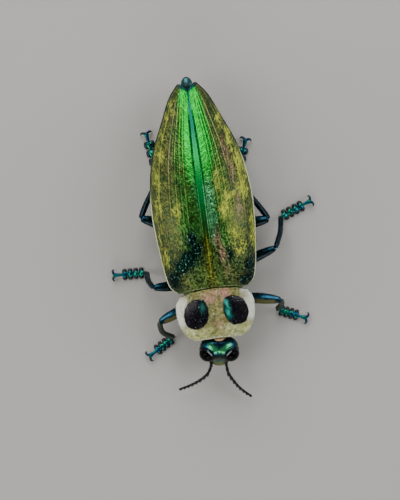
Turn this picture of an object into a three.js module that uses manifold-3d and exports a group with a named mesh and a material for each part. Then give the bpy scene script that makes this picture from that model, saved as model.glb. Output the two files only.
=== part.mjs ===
// A life-size metallic wood-boring beetle, standing on six feet on the plane z = 0.
// Millimetres, +Z up. The head looks along -Y and the beetle's left side is on +X.
// The places below are in the body's own frame: x = 0 on the midline, y = 0 at the scutellum between
// the shoulders, z = 0 on the floor. The last lines centre the whole beetle on the origin.

import * as THREE from "three";
import { mergeVertices } from "three/addons/utils/BufferGeometryUtils.js";
import Module from "manifold-3d";

const wasm = await Module();
wasm.setup();

const vector = (x, y, z) => new THREE.Vector3(x, y, z);

// ---- driving dimensions -------------------------------------------------------------------------

const GAP = 0.25; // clear space between neighbouring pieces
const SHELL = 0.7; // thickness of a wing case

// Each curve is a list of [y, value] that a smooth line goes through.
const WING_CASE = {
  halfWidth: [[-1, 7.6], [0.5, 9.1], [5, 10.1], [16.5, 11.05], [24, 10.4], [30, 8.95], [36, 6.45], [41, 4.2], [43.7, 2.1]],
  top: [[-1, 14.6], [4, 16.3], [13, 17], [24, 16], [34, 13], [40, 10.7], [43.7, 9.2]],
  margin: [[-1, 9.2], [8, 8.9], [22, 8.6], [34, 7.9], [43.7, 7.4]],
  roundness: 2.25, // exponent of the arched section, where 2 is an ellipse
  fromMidline: 0.12,
  front: { midline: -0.35, shoulder: -0.95 },
  hind: { midline: 42.0, tip: 43.7, tipAcross: 1.7 }, // the apex is notched at the midline
};
const BELLY = {
  sideGap: 0.5, // the wing cases overhang the sides of the trunk by this and their own thickness
  topGap: [[-2, 0.3], [35, 0.3], [39, 0.7], [42.2, 1.4]],
  bottom: [[-2, 3.0], [3, 2.5], [12, 2.4], [26, 3.1], [36, 4.2], [42.2, 5.3]],
  roundness: [[-2, 1.65], [12, 1.65], [20, 1.9], [42.2, 2.1]],
};
const THORAX_SPAN = [-2, 12.1];
const ABDOMEN_SPAN = [12.1 + GAP, 42.2];
const ABDOMEN_TIP = { centre: vector(0, 43.2, 6.0), radii: vector(1.35, 2.1, 0.95) };

const PROTHORAX = {
  span: [-0.65, -11.3], // y on the midline of the hind edge and the front edge
  halfWidth: [[-11.3, 5.1], [-9.9, 6.75], [-7.6, 7.95], [-4.2, 8.45], [-2.2, 8.2], [-0.65, 7.35]],
  top: [[-11.3, 11.7], [-9, 13.2], [-6, 14.3], [-3, 14.8], [-0.65, 14.7]],
  margin: [[-11.3, 7.6], [-5, 7.9], [-0.65, 8.6]],
  bottom: [[-11.3, 3.7], [-9, 3.1], [-5, 2.7], [-0.65, 3]],
  cornersForward: [1.25, 0.35], // how far the corners of the two edges lie in front of their middles
  roundness: { upper: 2.3, lower: 1.7 },
};

const HEAD = {
  centre: vector(0, -14.0, 7.4),
  radii: vector(3.95, 2.85, 3.75),
  squareness: 0.88, // below 1 the ellipsoid is boxier
  slant: 0.14, // how far the face comes forward for each millimetre down
  turn: THREE.MathUtils.degToRad(-6.5), // the head looks a little to the beetle's right
  pivot: vector(0, -11.4, 0),
};
const EYE = { centre: vector(2.55, -14.9, 7.8), radii: vector(1.85, 1.75, 2.6) };
const NECK = { radius: 2.6, span: [-10.2, -12.6], z: 7.6 };
const HEAD_RECESS = { centre: vector(0, -12.0, 7.5), radii: vector(4.6, 2.1, 3.9) };
const MANDIBLE = { path: [[1.3, -14.9, 4.5], [1.35, -16.2, 3.7], [0.55, -16.6, 2.7]], radii: [0.65, 0.3] };
const SCUTELLUM = { centre: vector(0, 0.15, 14.75), radii: vector(0.6, 0.55, 0.35) };

const ANTENNA = {
  joints: 11,
  radii: [0.27, 0.34], // between two joints and in the middle of one
  left: [[0.95, -15.9, 5.2], [0.85, -17.9, 5.7], [1.15, -19.8, 5.3], [3.15, -23.2, 3.6], [5.55, -25.6, 2.0]],
  right: [[-2.2, -15.7, 5.2], [-2.5, -17.5, 5.7], [-3.65, -19.3, 5.2], [-6.5, -20.95, 3.6], [-10.15, -22.1, 1.9]],
};

// Places along each leg from the body outwards: hip, thigh, knee, shin and ankle. The toe is the place
// on the floor plan that the claws reach.
const LEGS = {
  front_left: {
    hip: [3.0, -3.4, 3.3], thigh: [9.0, -4.15, 5.4], knee: [14.3, -5.2, 7.2],
    shin: [14.45, -6.3, 4.3], ankle: [13.55, -7.4, 1.3], toe: [20.2, -10.4],
  },
  front_right: {
    hip: [-3.0, -3.4, 3.3], thigh: [-8.4, -5.2, 5.1], knee: [-12.4, -6.7, 6.6],
    shin: [-12.0, -9.0, 4.0], ankle: [-9.85, -10.6, 1.3], toe: [-16.2, -14.4],
  },
  middle_left: {
    hip: [3.1, 1.8, 3.2], thigh: [10.5, 4.8, 5.2], knee: [14.6, 6.1, 6.5],
    shin: [16.1, 9.3, 4.0], ankle: [16.8, 12.6, 1.3], toe: [24.4, 15.6],
  },
  middle_right: {
    hip: [-3.1, 1.5, 3.2], thigh: [-9.0, 0.8, 5.9], knee: [-12.7, 0.9, 7.4],
    shin: [-13.75, 2.6, 4.6], ankle: [-14.0, 4.25, 1.3], toe: [-21.8, 4.6],
  },
  hind_left: {
    hip: [3.2, 11.7, 3.1], thigh: [9.5, 12.1, 5.6], knee: [13.9, 12.5, 7.2],
    shin: [11.9, 16.0, 5.2], ankle: [7.9, 22.0, 1.3], toe: [11.6, 31.2],
  },
  hind_right: {
    hip: [-3.2, 11.7, 3.1], thigh: [-9.4, 14.4, 5.6], knee: [-13.5, 16.1, 7.2],
    shin: [-11.8, 19.4, 5.2], ankle: [-8.6, 24.8, 1.3], toe: [-10.3, 35.3],
  },
};
// Half the thickness of a limb at shares of its length, and its height as a share of its width.
const FEMUR = { across: [[0, 0.6], [0.3, 0.95], [0.6, 1.0], [0.85, 0.82], [1, 0.5]], height: 0.85, steps: 5 };
const TIBIA = { across: [[0, 0.36], [0.15, 0.46], [0.6, 0.42], [1, 0.44]], steps: 5 };
const COXA = { radii: vector(1.45, 1.2, 1.1) };
const SOLE = {
  count: 4,
  halfWidth: 1.12,
  outline: [[0.35, 0], [1, 0.7], [0.55, 1.1], [0, 0.88]], // right half, from heel to notch
  layers: [[0, 1], [0.8, 0.55]], // height, then share of the outline
  fromAnkle: 0.35,
};
const CLAWS = { joint: 2.0, reach: 1.05, spread: 0.95, radius: 0.27, rootZ: 0.72, archZ: 1.05, tipZ: 0.36 };

const WING_LOOK = { color: 0x2f7d2a, metalness: 0.7, roughness: 0.4 };
const SHIELD_LOOK = { color: 0xcfc88f, metalness: 0.1, roughness: 0.8 };
const HEAD_LOOK = { color: 0x12503a, metalness: 0.7, roughness: 0.3 };
const EYE_LOOK = { color: 0x0a0b0e, metalness: 0.2, roughness: 0.15 };
const BELLY_LOOK = { color: 0x2a5a3a, metalness: 0.6, roughness: 0.45 };
const LIMB_LOOK = { color: 0x0c3550, metalness: 0.7, roughness: 0.35 };
const SOLE_LOOK = { color: 0x141a22, metalness: 0.3, roughness: 0.6 };
const CLAW_LOOK = { color: 0x100e0c, metalness: 0.2, roughness: 0.3 };
const NECK_LOOK = { color: 0xb98a4e, metalness: 0.0, roughness: 0.7 };

// ---- helpers ------------------------------------------------------------------------------------

// The value at t of a smooth line through [t, value] points, level with the end points beyond them.
function along(points, t) {
  const last = points.length - 1;
  const at = Math.min(Math.max(t, points[0][0]), points[last][0]);
  let i = 0;
  while (i < last - 1 && at > points[i + 1][0]) i += 1;
  const slope = (k) => {
    const before = points[Math.max(k - 1, 0)];
    const after = points[Math.min(k + 1, last)];
    return (after[1] - before[1]) / (after[0] - before[0]);
  };
  const span = points[i + 1][0] - points[i][0];
  const u = (at - points[i][0]) / span;
  const blend = u * u * (3 - 2 * u);
  const bulge = slope(i) * u * (1 - u) ** 2 - slope(i + 1) * (1 - u) * u ** 2;
  return points[i][1] * (1 - blend) + points[i + 1][1] * blend + span * bulge;
}

const signedPower = (value, exponent) => Math.sign(value) * Math.abs(value) ** exponent;

// Six times the volume inside a closed mesh, which is negative when its faces point inwards.
function signedVolume(geometry) {
  const position = geometry.getAttribute("position");
  const corner = (i) => vector(0, 0, 0).fromBufferAttribute(position, geometry.index.getX(i));
  let total = 0;
  for (let i = 0; i < geometry.index.count; i += 3) {
    total += corner(i).dot(corner(i + 1).cross(corner(i + 2)));
  }
  return total;
}

function toSolid(geometry) {
  const bare = geometry.clone();
  bare.deleteAttribute("normal");
  bare.deleteAttribute("uv");
  const merged = mergeVertices(bare, 1e-4);
  const corners = Uint32Array.from(merged.index.array);
  if (signedVolume(merged) < 0) corners.reverse();
  return new wasm.Manifold(
    new wasm.Mesh({ numProp: 3, vertProperties: merged.getAttribute("position").array, triVerts: corners }),
  );
}

function toGeometry(solid) {
  const mesh = solid.getMesh();
  const geometry = new THREE.BufferGeometry();
  geometry.setAttribute("position", new THREE.BufferAttribute(mesh.vertProperties, 3));
  geometry.setIndex(new THREE.BufferAttribute(mesh.triVerts, 1));
  geometry.computeVertexNormals();
  return geometry;
}

const joined = (solids) => solids.reduce((sum, next) => sum.add(next));

// A solid without the others, keeping only its biggest body when they cut it in two.
function without(solid, others) {
  const cut = others.reduce((rest, other) => rest.subtract(other), solid);
  return cut.decompose().sort((a, b) => b.volume() - a.volume())[0];
}

// A solid through rings of points, each end closed by a fan around the middle of its ring.
function loft(rings) {
  const sides = rings[0].length;
  const points = rings.flat();
  const index = [];
  for (let r = 0; r < rings.length - 1; r += 1) {
    for (let k = 0; k < sides; k += 1) {
      const a = r * sides + k;
      const b = r * sides + ((k + 1) % sides);
      index.push(a, b, a + sides, b, b + sides, a + sides);
    }
  }
  const closeEnd = (r, flip) => {
    const middle = rings[r].reduce((sum, p) => sum.add(p), vector(0, 0, 0)).divideScalar(sides);
    points.push(middle);
    for (let k = 0; k < sides; k += 1) {
      const edge = [r * sides + k, r * sides + ((k + 1) % sides)];
      if (flip) edge.reverse();
      index.push(points.length - 1, ...edge);
    }
  };
  closeEnd(0, true);
  closeEnd(rings.length - 1, false);
  return toSolid(new THREE.BufferGeometry().setFromPoints(points).setIndex(index));
}

function ellipsoid({ centre, radii }, { grow = 0, across = 12, down = 8, squareness = 1 } = {}) {
  const geometry = new THREE.SphereGeometry(1, across, down).rotateX(Math.PI / 2);
  const position = geometry.getAttribute("position");
  for (let i = 0; i < position.count; i += 1) {
    const p = vector(0, 0, 0).fromBufferAttribute(position, i);
    p.set(...p.toArray().map((value) => signedPower(value, squareness)));
    position.setXYZ(i, ...p.toArray());
  }
  geometry.scale(radii.x + grow, radii.y + grow, radii.z + grow);
  return toSolid(geometry.translate(centre.x, centre.y, centre.z));
}

// A rod of elliptic section along a path: halfWidth(t) on the level and height times that upwards.
// grow makes it thicker and longer by that much all round.
function rod(path, halfWidth, { height = 1, sides = 7, steps = 6, grow = 0 } = {}) {
  const up = vector(0, 0, 1);
  const rings = [];
  for (let i = 0; i <= steps; i += 1) {
    const t = i / steps;
    const forward = path.getTangent(t);
    const side = vector(0, 0, 0).crossVectors(forward, up).normalize();
    const over = vector(0, 0, 0).crossVectors(side, forward);
    const atEnd = (i === steps) - (i === 0);
    const centre = path.getPoint(t).addScaledVector(forward, atEnd * grow);
    const wide = halfWidth(t) + grow;
    const high = halfWidth(t) * height + grow;
    const ring = [];
    for (let k = 0; k < sides; k += 1) {
      const angle = (2 * Math.PI * (k + 0.5)) / sides;
      const point = centre.clone().addScaledVector(side, wide * Math.cos(angle));
      ring.push(point.addScaledVector(over, high * Math.sin(angle)));
    }
    rings.push(ring);
  }
  return loft(rings);
}

const pathThrough = (points) => new THREE.CatmullRomCurve3(points.map((p) => vector(...p)));

// A piece of the trunk: at each y a section that is arched above its widest level and below it.
// cornersForward shifts the sides of the two ends towards the head.
function trunk(shape, span, { grow = 0, rings = 9, sides = 16 } = {}) {
  const [start, end] = [span[0] - grow * Math.sign(span[1] - span[0]), span[1] + grow * Math.sign(span[1] - span[0])];
  const loops = [];
  for (let i = 0; i <= rings; i += 1) {
    const share = i / rings;
    const y = THREE.MathUtils.lerp(start, end, share);
    const { halfWidth, top, margin, bottom, upper, lower } = shape(y);
    const forward = THREE.MathUtils.lerp(...(shape.cornersForward ?? [0, 0]), share);
    const loop = [];
    for (let k = 0; k < sides; k += 1) {
      const angle = (2 * Math.PI * k) / sides;
      const exponent = 2 / (Math.sin(angle) > 0 ? upper : lower);
      const reach = signedPower(Math.cos(angle), exponent);
      const rise = signedPower(Math.sin(angle), exponent);
      const height = rise > 0 ? top - margin + grow : margin - bottom + grow;
      loop.push(vector((halfWidth + grow) * reach, y - forward * reach * reach, margin + height * rise));
    }
    loops.push(loop);
  }
  return loft(loops);
}

const beetle = new THREE.Group();

function addPiece(name, solid, look) {
  const mesh = new THREE.Mesh(toGeometry(solid), new THREE.MeshStandardMaterial(look));
  mesh.name = name;
  beetle.add(mesh);
}

// ---- prothorax, thorax and abdomen --------------------------------------------------------------

function prothoraxSection(y) {
  return {
    halfWidth: along(PROTHORAX.halfWidth, y),
    top: along(PROTHORAX.top, y),
    margin: along(PROTHORAX.margin, y),
    bottom: along(PROTHORAX.bottom, y),
    ...PROTHORAX.roundness,
  };
}
prothoraxSection.cornersForward = PROTHORAX.cornersForward;

// The trunk behind the prothorax fits inside the wing cases with a gap all round.
function hindTrunkSection(y) {
  return {
    halfWidth: along(WING_CASE.halfWidth, y) - SHELL - BELLY.sideGap,
    top: along(WING_CASE.top, y) - SHELL - along(BELLY.topGap, y),
    margin: along(WING_CASE.margin, y),
    bottom: along(BELLY.bottom, y),
    upper: WING_CASE.roundness,
    lower: along(BELLY.roundness, y),
  };
}

// ---- wing cases ---------------------------------------------------------------------------------

// A point of a wing case: s runs from the front edge to the hind edge and q from the midline to the side.
function wingPoint(s, q, side, depth) {
  const { front, hind, fromMidline, roundness } = WING_CASE;
  const angle = (q * Math.PI) / 2;
  const frontY = THREE.MathUtils.lerp(front.midline, front.shoulder, Math.min(1, 1.5 * q));
  const plainY = THREE.MathUtils.lerp(frontY, hind.tip, s);
  const reach = Math.sin(angle) ** (2 / roundness);
  const rise = Math.max(0, Math.cos(angle)) ** (2 / roundness);
  const x = fromMidline + (along(WING_CASE.halfWidth, plainY) - depth - fromMidline) * reach;
  const notch = (hind.tip - hind.midline) * Math.max(0, 1 - x / hind.tipAcross);
  const margin = along(WING_CASE.margin, plainY);
  const top = along(WING_CASE.top, plainY) - depth;
  return vector(side * x, plainY - notch * s ** 8, margin + (top - margin) * rise);
}

// A wing case is a thin arch: each ring runs out along its outer face and back along its inner one.
function wingCase(side) {
  const lengthSteps = 17;
  const widthSteps = 8;
  const sides = 2 * (widthSteps + 1);
  const points = [];
  for (let i = 0; i <= lengthSteps; i += 1) {
    for (let k = 0; k <= widthSteps; k += 1) points.push(wingPoint(i / lengthSteps, k / widthSteps, side, 0));
    for (let k = widthSteps; k >= 0; k -= 1) points.push(wingPoint(i / lengthSteps, k / widthSteps, side, SHELL));
  }
  const index = [];
  const addQuad = (a, b, c, d) => index.push(a, b, c, a, c, d);
  for (let start = 0; start < lengthSteps * sides; start += sides) {
    for (let k = 0; k < sides; k += 1) {
      const next = (k + 1) % sides;
      addQuad(start + k, start + next, start + sides + next, start + sides + k);
    }
  }
  const last = lengthSteps * sides;
  for (let k = 0; k < widthSteps; k += 1) {
    const back = sides - 1 - k;
    addQuad(back, back - 1, k + 1, k);
    addQuad(last + k, last + k + 1, last + back - 1, last + back);
  }
  return toSolid(new THREE.BufferGeometry().setFromPoints(points).setIndex(index));
}

// ---- legs ---------------------------------------------------------------------------------------

// The parts of one leg, and with grow the same parts bigger all round, to cut room for them.
function legParts({ hip, thigh, knee, shin, ankle, toe }, grow) {
  const thighWidth = (t) => along(FEMUR.across, t);
  const shinWidth = (t) => along(TIBIA.across, t);
  return {
    coxa: ellipsoid({ centre: vector(...hip), radii: COXA.radii }, { grow, across: 8, down: 6 }),
    femur: rod(pathThrough([hip, thigh, knee]), thighWidth, { height: FEMUR.height, steps: FEMUR.steps, grow }),
    tibia: rod(pathThrough([knee, shin, ankle]), shinWidth, { steps: TIBIA.steps, sides: 6, grow }),
    ...footParts(vector(...ankle), vector(...toe, 0), grow),
  };
}

// The soles and the claws of one foot. Both lie on the floor plan along the line from ankle to toe.
function footParts(ankle, toe, grow) {
  const start = vector(ankle.x, ankle.y, 0);
  const forward = toe.clone().sub(start);
  const length = forward.length();
  forward.normalize();
  const side = vector(-forward.y, forward.x, 0);
  const place = (ahead, across, z) => start.clone().addScaledVector(forward, ahead).addScaledVector(side, across).setZ(z);

  const clawRoot = length - CLAWS.reach;
  const pitch = (clawRoot - CLAWS.joint + 0.5 - SOLE.fromAnkle) / SOLE.count;
  const mirrored = SOLE.outline.slice(0, -1).reverse().map(([x, y]) => [-x, y]);
  const outline = [...SOLE.outline, ...mirrored];
  const soles = [];
  for (let i = 0; i < SOLE.count; i += 1) {
    const heel = SOLE.fromAnkle + i * pitch;
    const layer = ([z, share]) => outline.map(([x, y]) => {
      const ahead = heel + pitch * (0.55 + (y * 1.12 - 0.55) * share);
      return place(ahead, x * share * SOLE.halfWidth, z);
    });
    soles.push(loft(SOLE.layers.map(layer)));
  }

  const jointPath = pathThrough([
    place(clawRoot - CLAWS.joint, 0, CLAWS.rootZ).toArray(),
    place(clawRoot - CLAWS.joint / 2, 0, CLAWS.archZ).toArray(),
    place(clawRoot, 0, CLAWS.archZ - 0.1).toArray(),
  ]);
  const clawPath = (hand) => new THREE.QuadraticBezierCurve3(
    place(clawRoot - 0.2, 0, CLAWS.archZ - 0.1),
    place(clawRoot + 0.45 * CLAWS.reach, hand * CLAWS.spread * 0.95, CLAWS.archZ + 0.15),
    place(clawRoot + CLAWS.reach - CLAWS.radius, hand * (CLAWS.spread - 0.1), CLAWS.tipZ),
  );
  const thin = { sides: 5, steps: 3, grow };
  const claws = joined([
    rod(jointPath, () => CLAWS.radius * 1.1, { ...thin, steps: 2 }),
    rod(clawPath(1), () => CLAWS.radius, thin),
    rod(clawPath(-1), () => CLAWS.radius, thin),
  ]);
  return { tarsus: joined(soles), claws };
}

const legs = Object.entries(LEGS).map(([name, places]) => {
  return { name, parts: legParts(places, 0), room: legParts(places, GAP) };
});
const allHips = legs.map((leg) => leg.room.coxa);
const allThighs = legs.map((leg) => leg.room.femur);

for (const { name, parts, room } of legs) {
  addPiece(`${name}_coxa`, parts.coxa, LIMB_LOOK);
  addPiece(`${name}_femur`, without(parts.femur, [room.coxa]), LIMB_LOOK);
  addPiece(`${name}_tibia`, without(parts.tibia, [room.femur]), LIMB_LOOK);
  addPiece(`${name}_tarsus`, without(parts.tarsus, [room.tibia, room.claws]), SOLE_LOOK);
  addPiece(`${name}_claws`, parts.claws, CLAW_LOOK);
}

// ---- head ---------------------------------------------------------------------------------------

// Everything on the head is drawn looking straight ahead and then turned with it.
const { x: pivotX, y: pivotY } = HEAD.pivot;
const degrees = THREE.MathUtils.radToDeg(HEAD.turn);
const turned = (solid) => solid.translate([-pivotX, -pivotY, 0]).rotate([0, 0, degrees]).translate([pivotX, pivotY, 0]);

const eye = (side, grow) => {
  const centre = EYE.centre.clone().setX(side * EYE.centre.x);
  return turned(ellipsoid({ centre, radii: EYE.radii }, { grow, across: 10, down: 8 }));
};
const mandible = (side, grow) => {
  const path = pathThrough(MANDIBLE.path.map(([x, y, z]) => [side * x, y, z]));
  return turned(rod(path, (t) => THREE.MathUtils.lerp(...MANDIBLE.radii, t), { grow, sides: 6, steps: 4 }));
};
const antenna = (places) => {
  const [thin, thick] = ANTENNA.radii;
  const steps = 2 * ANTENNA.joints;
  const radius = (t) => (Math.round(t * steps) % 2 === 0 ? thin : thick);
  return rod(pathThrough(places), radius, { sides: 5, steps });
};
const socket = ([root, next]) => {
  return rod(pathThrough([root, next]), () => ANTENNA.radii[1], { steps: 1, grow: GAP });
};
const neck = (grow) => {
  const path = new THREE.LineCurve3(vector(0, NECK.span[0], NECK.z), vector(0, NECK.span[1], NECK.z));
  return rod(path, () => NECK.radius, { sides: 10, steps: 1, grow });
};

const skull = ellipsoid(HEAD, { across: 16, down: 10, squareness: HEAD.squareness });
const leaning = skull.warp((point) => {
  point[1] -= HEAD.slant * (HEAD.centre.z - point[2]);
});
const headRoom = [
  eye(1, GAP), eye(-1, GAP), mandible(1, GAP), mandible(-1, GAP),
  socket(ANTENNA.left), socket(ANTENNA.right), neck(GAP),
];
addPiece("head", without(turned(leaning), headRoom), HEAD_LOOK);
addPiece("eye_left", eye(1, 0), EYE_LOOK);
addPiece("eye_right", eye(-1, 0), EYE_LOOK);
addPiece("mandible_left", mandible(1, 0), CLAW_LOOK);
addPiece("mandible_right", mandible(-1, 0), CLAW_LOOK);
addPiece("antenna_left", antenna(ANTENNA.left), CLAW_LOOK);
addPiece("antenna_right", antenna(ANTENNA.right), CLAW_LOOK);
addPiece("neck", neck(0), NECK_LOOK);

// ---- trunk and wing cases -----------------------------------------------------------------------

const prothorax = trunk(prothoraxSection, PROTHORAX.span);
const prothoraxRoom = trunk(prothoraxSection, PROTHORAX.span, { grow: GAP });
addPiece("prothorax", without(prothorax, [ellipsoid(HEAD_RECESS), neck(GAP), ...allHips, ...allThighs]), SHIELD_LOOK);

const thorax = trunk(hindTrunkSection, THORAX_SPAN, { rings: 7 });
addPiece("thorax", without(thorax, [prothoraxRoom, ...allHips, ...allThighs]), BELLY_LOOK);
const abdomen = trunk(hindTrunkSection, ABDOMEN_SPAN, { rings: 11 });
addPiece("abdomen", without(abdomen, [ellipsoid(ABDOMEN_TIP, { grow: GAP, across: 10 }), ...allHips, ...allThighs]), BELLY_LOOK);
addPiece("abdomen_tip", ellipsoid(ABDOMEN_TIP, { across: 10 }), BELLY_LOOK);

const scutellumRoom = ellipsoid(SCUTELLUM, { grow: GAP, across: 8, down: 6 });
addPiece("scutellum", ellipsoid(SCUTELLUM, { across: 8, down: 6 }), BELLY_LOOK);
addPiece("elytron_left", without(wingCase(1), [scutellumRoom]), WING_LOOK);
addPiece("elytron_right", without(wingCase(-1), [scutellumRoom]), WING_LOOK);

// ---- placing ------------------------------------------------------------------------------------

const box = new THREE.Box3().setFromObject(beetle);
const middle = box.getCenter(vector(0, 0, 0));
for (const piece of beetle.children) piece.geometry.translate(-middle.x, -middle.y, 0);

export default beetle;
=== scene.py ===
# %% [markdown]
# # A metallic wood-boring beetle
#
# This lesson builds the looks of a life-size jewel beetle over a fixed frame of plain solids. Each
# visible part becomes a new surface, worked out with numpy, and gets a material made of nodes. We start
# by loading the frame, because every later piece takes its place from it, and by noting its box.

import math
from itertools import product

import bpy
import numpy as np
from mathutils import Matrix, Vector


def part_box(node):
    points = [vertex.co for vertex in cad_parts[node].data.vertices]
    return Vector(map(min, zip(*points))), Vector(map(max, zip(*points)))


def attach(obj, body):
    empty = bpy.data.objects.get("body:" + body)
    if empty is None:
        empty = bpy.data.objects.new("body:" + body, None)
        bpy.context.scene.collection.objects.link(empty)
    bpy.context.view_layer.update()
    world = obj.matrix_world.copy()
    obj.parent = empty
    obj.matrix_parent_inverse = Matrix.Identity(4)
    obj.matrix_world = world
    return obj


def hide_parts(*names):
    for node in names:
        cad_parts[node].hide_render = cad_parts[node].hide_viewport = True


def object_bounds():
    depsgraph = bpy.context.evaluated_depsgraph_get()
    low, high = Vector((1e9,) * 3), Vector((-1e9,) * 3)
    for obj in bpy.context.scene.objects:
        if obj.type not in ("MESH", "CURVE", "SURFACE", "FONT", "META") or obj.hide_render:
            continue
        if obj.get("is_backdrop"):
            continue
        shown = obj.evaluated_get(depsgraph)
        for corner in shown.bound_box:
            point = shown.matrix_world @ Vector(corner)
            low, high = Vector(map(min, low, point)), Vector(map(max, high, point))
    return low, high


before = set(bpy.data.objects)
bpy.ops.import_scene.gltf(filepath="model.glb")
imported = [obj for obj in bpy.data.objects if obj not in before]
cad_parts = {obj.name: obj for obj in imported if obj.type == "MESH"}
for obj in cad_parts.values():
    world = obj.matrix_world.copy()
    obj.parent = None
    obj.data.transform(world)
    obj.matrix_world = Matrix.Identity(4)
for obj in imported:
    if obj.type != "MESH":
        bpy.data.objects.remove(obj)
cad_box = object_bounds()
print("frame nodes:", len(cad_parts))

# %% [markdown]
# The shapes are easiest to describe in the animal's own frame, in millimetres: x = 0 on the midline with
# the beetle's left on +x, y = 0 at the scutellum (the tiny shield between the shoulders) with the head
# towards -y, and z = 0 on the floor. The scutellum's box tells us how far that frame is shifted, so
# nothing has to be fitted by eye.

# %% From millimetres to the frame
SCUTELLUM_CENTRE = (0, 0.15, 14.75)
HANDS = {"left": 1, "right": -1}
low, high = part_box("scutellum")
SHIFT = np.array([(low.x + high.x) / 2, (low.y + high.y) / 2 - SCUTELLUM_CENTRE[1] / 1000, 0.0])
print("own frame is shifted by (mm):", (SHIFT * 1000).round(2))


def to_metres(points):
    """Own frame in millimetres to the row frame in metres: divide by 1000 and add the shift."""
    return np.asarray(points, float) / 1000 + SHIFT


# %% [markdown]
# The view comes first. The animal is seen from straight above with its head at the bottom, turned a few
# degrees. A long lens from 300 mm away keeps the perspective gentle.

# %% Camera
VIEW_FROM = (-1.686, 7.699, 300.0)
VIEW_TURN = math.radians(7.3)
lens = bpy.data.cameras.new("camera")
lens.sensor_width = 36
lens.lens = 97.8
lens.clip_start = 0.01
camera = bpy.data.objects.new("camera", lens)
camera.location = to_metres(VIEW_FROM)
camera.rotation_euler = (0, 0, -VIEW_TURN)
bpy.context.collection.objects.link(camera)
bpy.context.scene.camera = camera
print("camera at (m):", [round(v, 4) for v in camera.location])

# %% [markdown]
# Nodes are wired by a few small helpers. `plug` fills one socket: another socket is linked to it, and a
# value is written on it. To keep the recipes short, a text stands for a colour if it starts with #, and
# otherwise for a mask, which is a number from 0 to 1 that a piece carries on each of its points.


# %% Helpers for nodes: one node
def paint(code):
    """A hex colour as linear red, green, blue and alpha, which is how nodes hold colour."""
    parts = [int(code[i : i + 2], 16) / 255 for i in (1, 3, 5)]
    return (*[c / 12.92 if c <= 0.04045 else ((c + 0.055) / 1.055) ** 2.4 for c in parts], 1.0)


def plug(tree, value, socket):
    """Link a socket to an output, or set it to a value, to a #colour or to the mask of a name."""
    if isinstance(value, str) and value.startswith("#"):
        value = paint(value)
    elif isinstance(value, str):
        value = wire(tree, "ShaderNodeAttribute", attribute_name=value).outputs["Fac"]
    if isinstance(value, bpy.types.NodeSocket):
        tree.links.new(value, socket)
    else:
        socket.default_value = value


def wire(tree, kind, inputs=None, **settings):
    """Add a node, set its options, then plug its inputs by name or number."""
    node = tree.nodes.new(kind)
    for option, value in settings.items():
        setattr(node, option, value)
    for key, value in (inputs or {}).items():
        plug(tree, value, node.inputs[key])
    return node


print("olive as linear colour:", [round(c, 3) for c in paint("#5c6428")])

# %% [markdown]
# The next helpers name what we do most: blend two colours or two numbers, lay a stack of colours over
# one another, do sums, and turn a range of numbers into a soft step.


# %% Helpers for nodes: blends and sums
def blend_colours(tree, share, first, second, mode="MIX"):
    """The first colour where share is 0 and the second, or in MULTIPLY both multiplied, where it is 1."""
    inputs = {0: share, 6: first, 7: second}
    return wire(tree, "ShaderNodeMix", inputs, data_type="RGBA", blend_type=mode).outputs[2]


def blend_numbers(tree, share, first, second):
    """first + share * (second - first)."""
    return wire(tree, "ShaderNodeMix", {0: share, 2: first, 3: second}).outputs[0]


def sums(tree, operation, result, *others):
    """The operation done to the first value and each of the others in turn."""
    for other in others:
        result = wire(tree, "ShaderNodeMath", {0: result, 1: other}, operation=operation).outputs[0]
    return result


def layers(tree, under, *over):
    """Colours laid over one another, each (share, colour) or (share, colour, factor for the share)."""
    for share, colour, *factor in over:
        under = blend_colours(tree, sums(tree, "MULTIPLY", share, *factor), under, colour)
    return under


def soft_step(tree, value, start, end):
    """0 at start and 1 at end, with a smooth rise between them."""
    ranges = {"Value": value, "From Min": start, "From Max": end}
    return wire(tree, "ShaderNodeMapRange", ranges, interpolation_type="SMOOTHSTEP").outputs["Result"]


print("helpers: blend_colours, blend_numbers, sums, layers, soft_step")

# %% [markdown]
# Noise breaks up every colour. It is laid out on object coordinates, which all pieces share, so a pattern
# runs on from one piece to the next. Cut between two of its levels, it becomes soft-edged blotches.


# %% Helpers for nodes: noise and bumps
def body_place(tree):
    """Object coordinates, in metres."""
    return wire(tree, "ShaderNodeTexCoord").outputs["Object"]


def noise(tree, scale, detail):
    """Noise around 0.5 with about as many blotches to a metre as the scale says."""
    inputs = {"Vector": body_place(tree), "Scale": scale, "Detail": detail}
    return wire(tree, "ShaderNodeTexNoise", inputs).outputs["Fac"]


def blotches(tree, size, detail, start, end):
    """Noise with blotches about size metres wide, cut to a soft edge between two of its levels."""
    return soft_step(tree, noise(tree, 1 / size, detail), start, end)


def bumps(tree, strength, depth, height):
    """The normal of a relief so many metres deep."""
    inputs = {"Strength": strength, "Distance": depth, "Height": height}
    return wire(tree, "ShaderNodeBump", inputs).outputs["Normal"]


print("helpers: noise, blotches, bumps")

# %% [markdown]
# A material is one Principled shader. Its sockets are filled from plain argument names: `base_color`
# fills Base Color. The floor, which is pale and matt, is the first to get one.


# %% Materials and the floor
def titled(values):
    """Socket names for argument names: words with capitals, and IOR in full."""
    return {key.replace("_", " ").title().replace("Ior", "IOR"): value for key, value in values.items()}


def new_material(name):
    """A material with a bare Principled shader, and its node tree."""
    material = bpy.data.materials.new(name)
    material.use_nodes = True
    return material, material.node_tree


def feed(material, **sockets):
    """Plug the sockets of the material's shader."""
    tree = material.node_tree
    for name, value in titled(sockets).items():
        plug(tree, value, tree.nodes["Principled BSDF"].inputs[name])
    print(f"{material.name}: {len(tree.nodes)} nodes")


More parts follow.
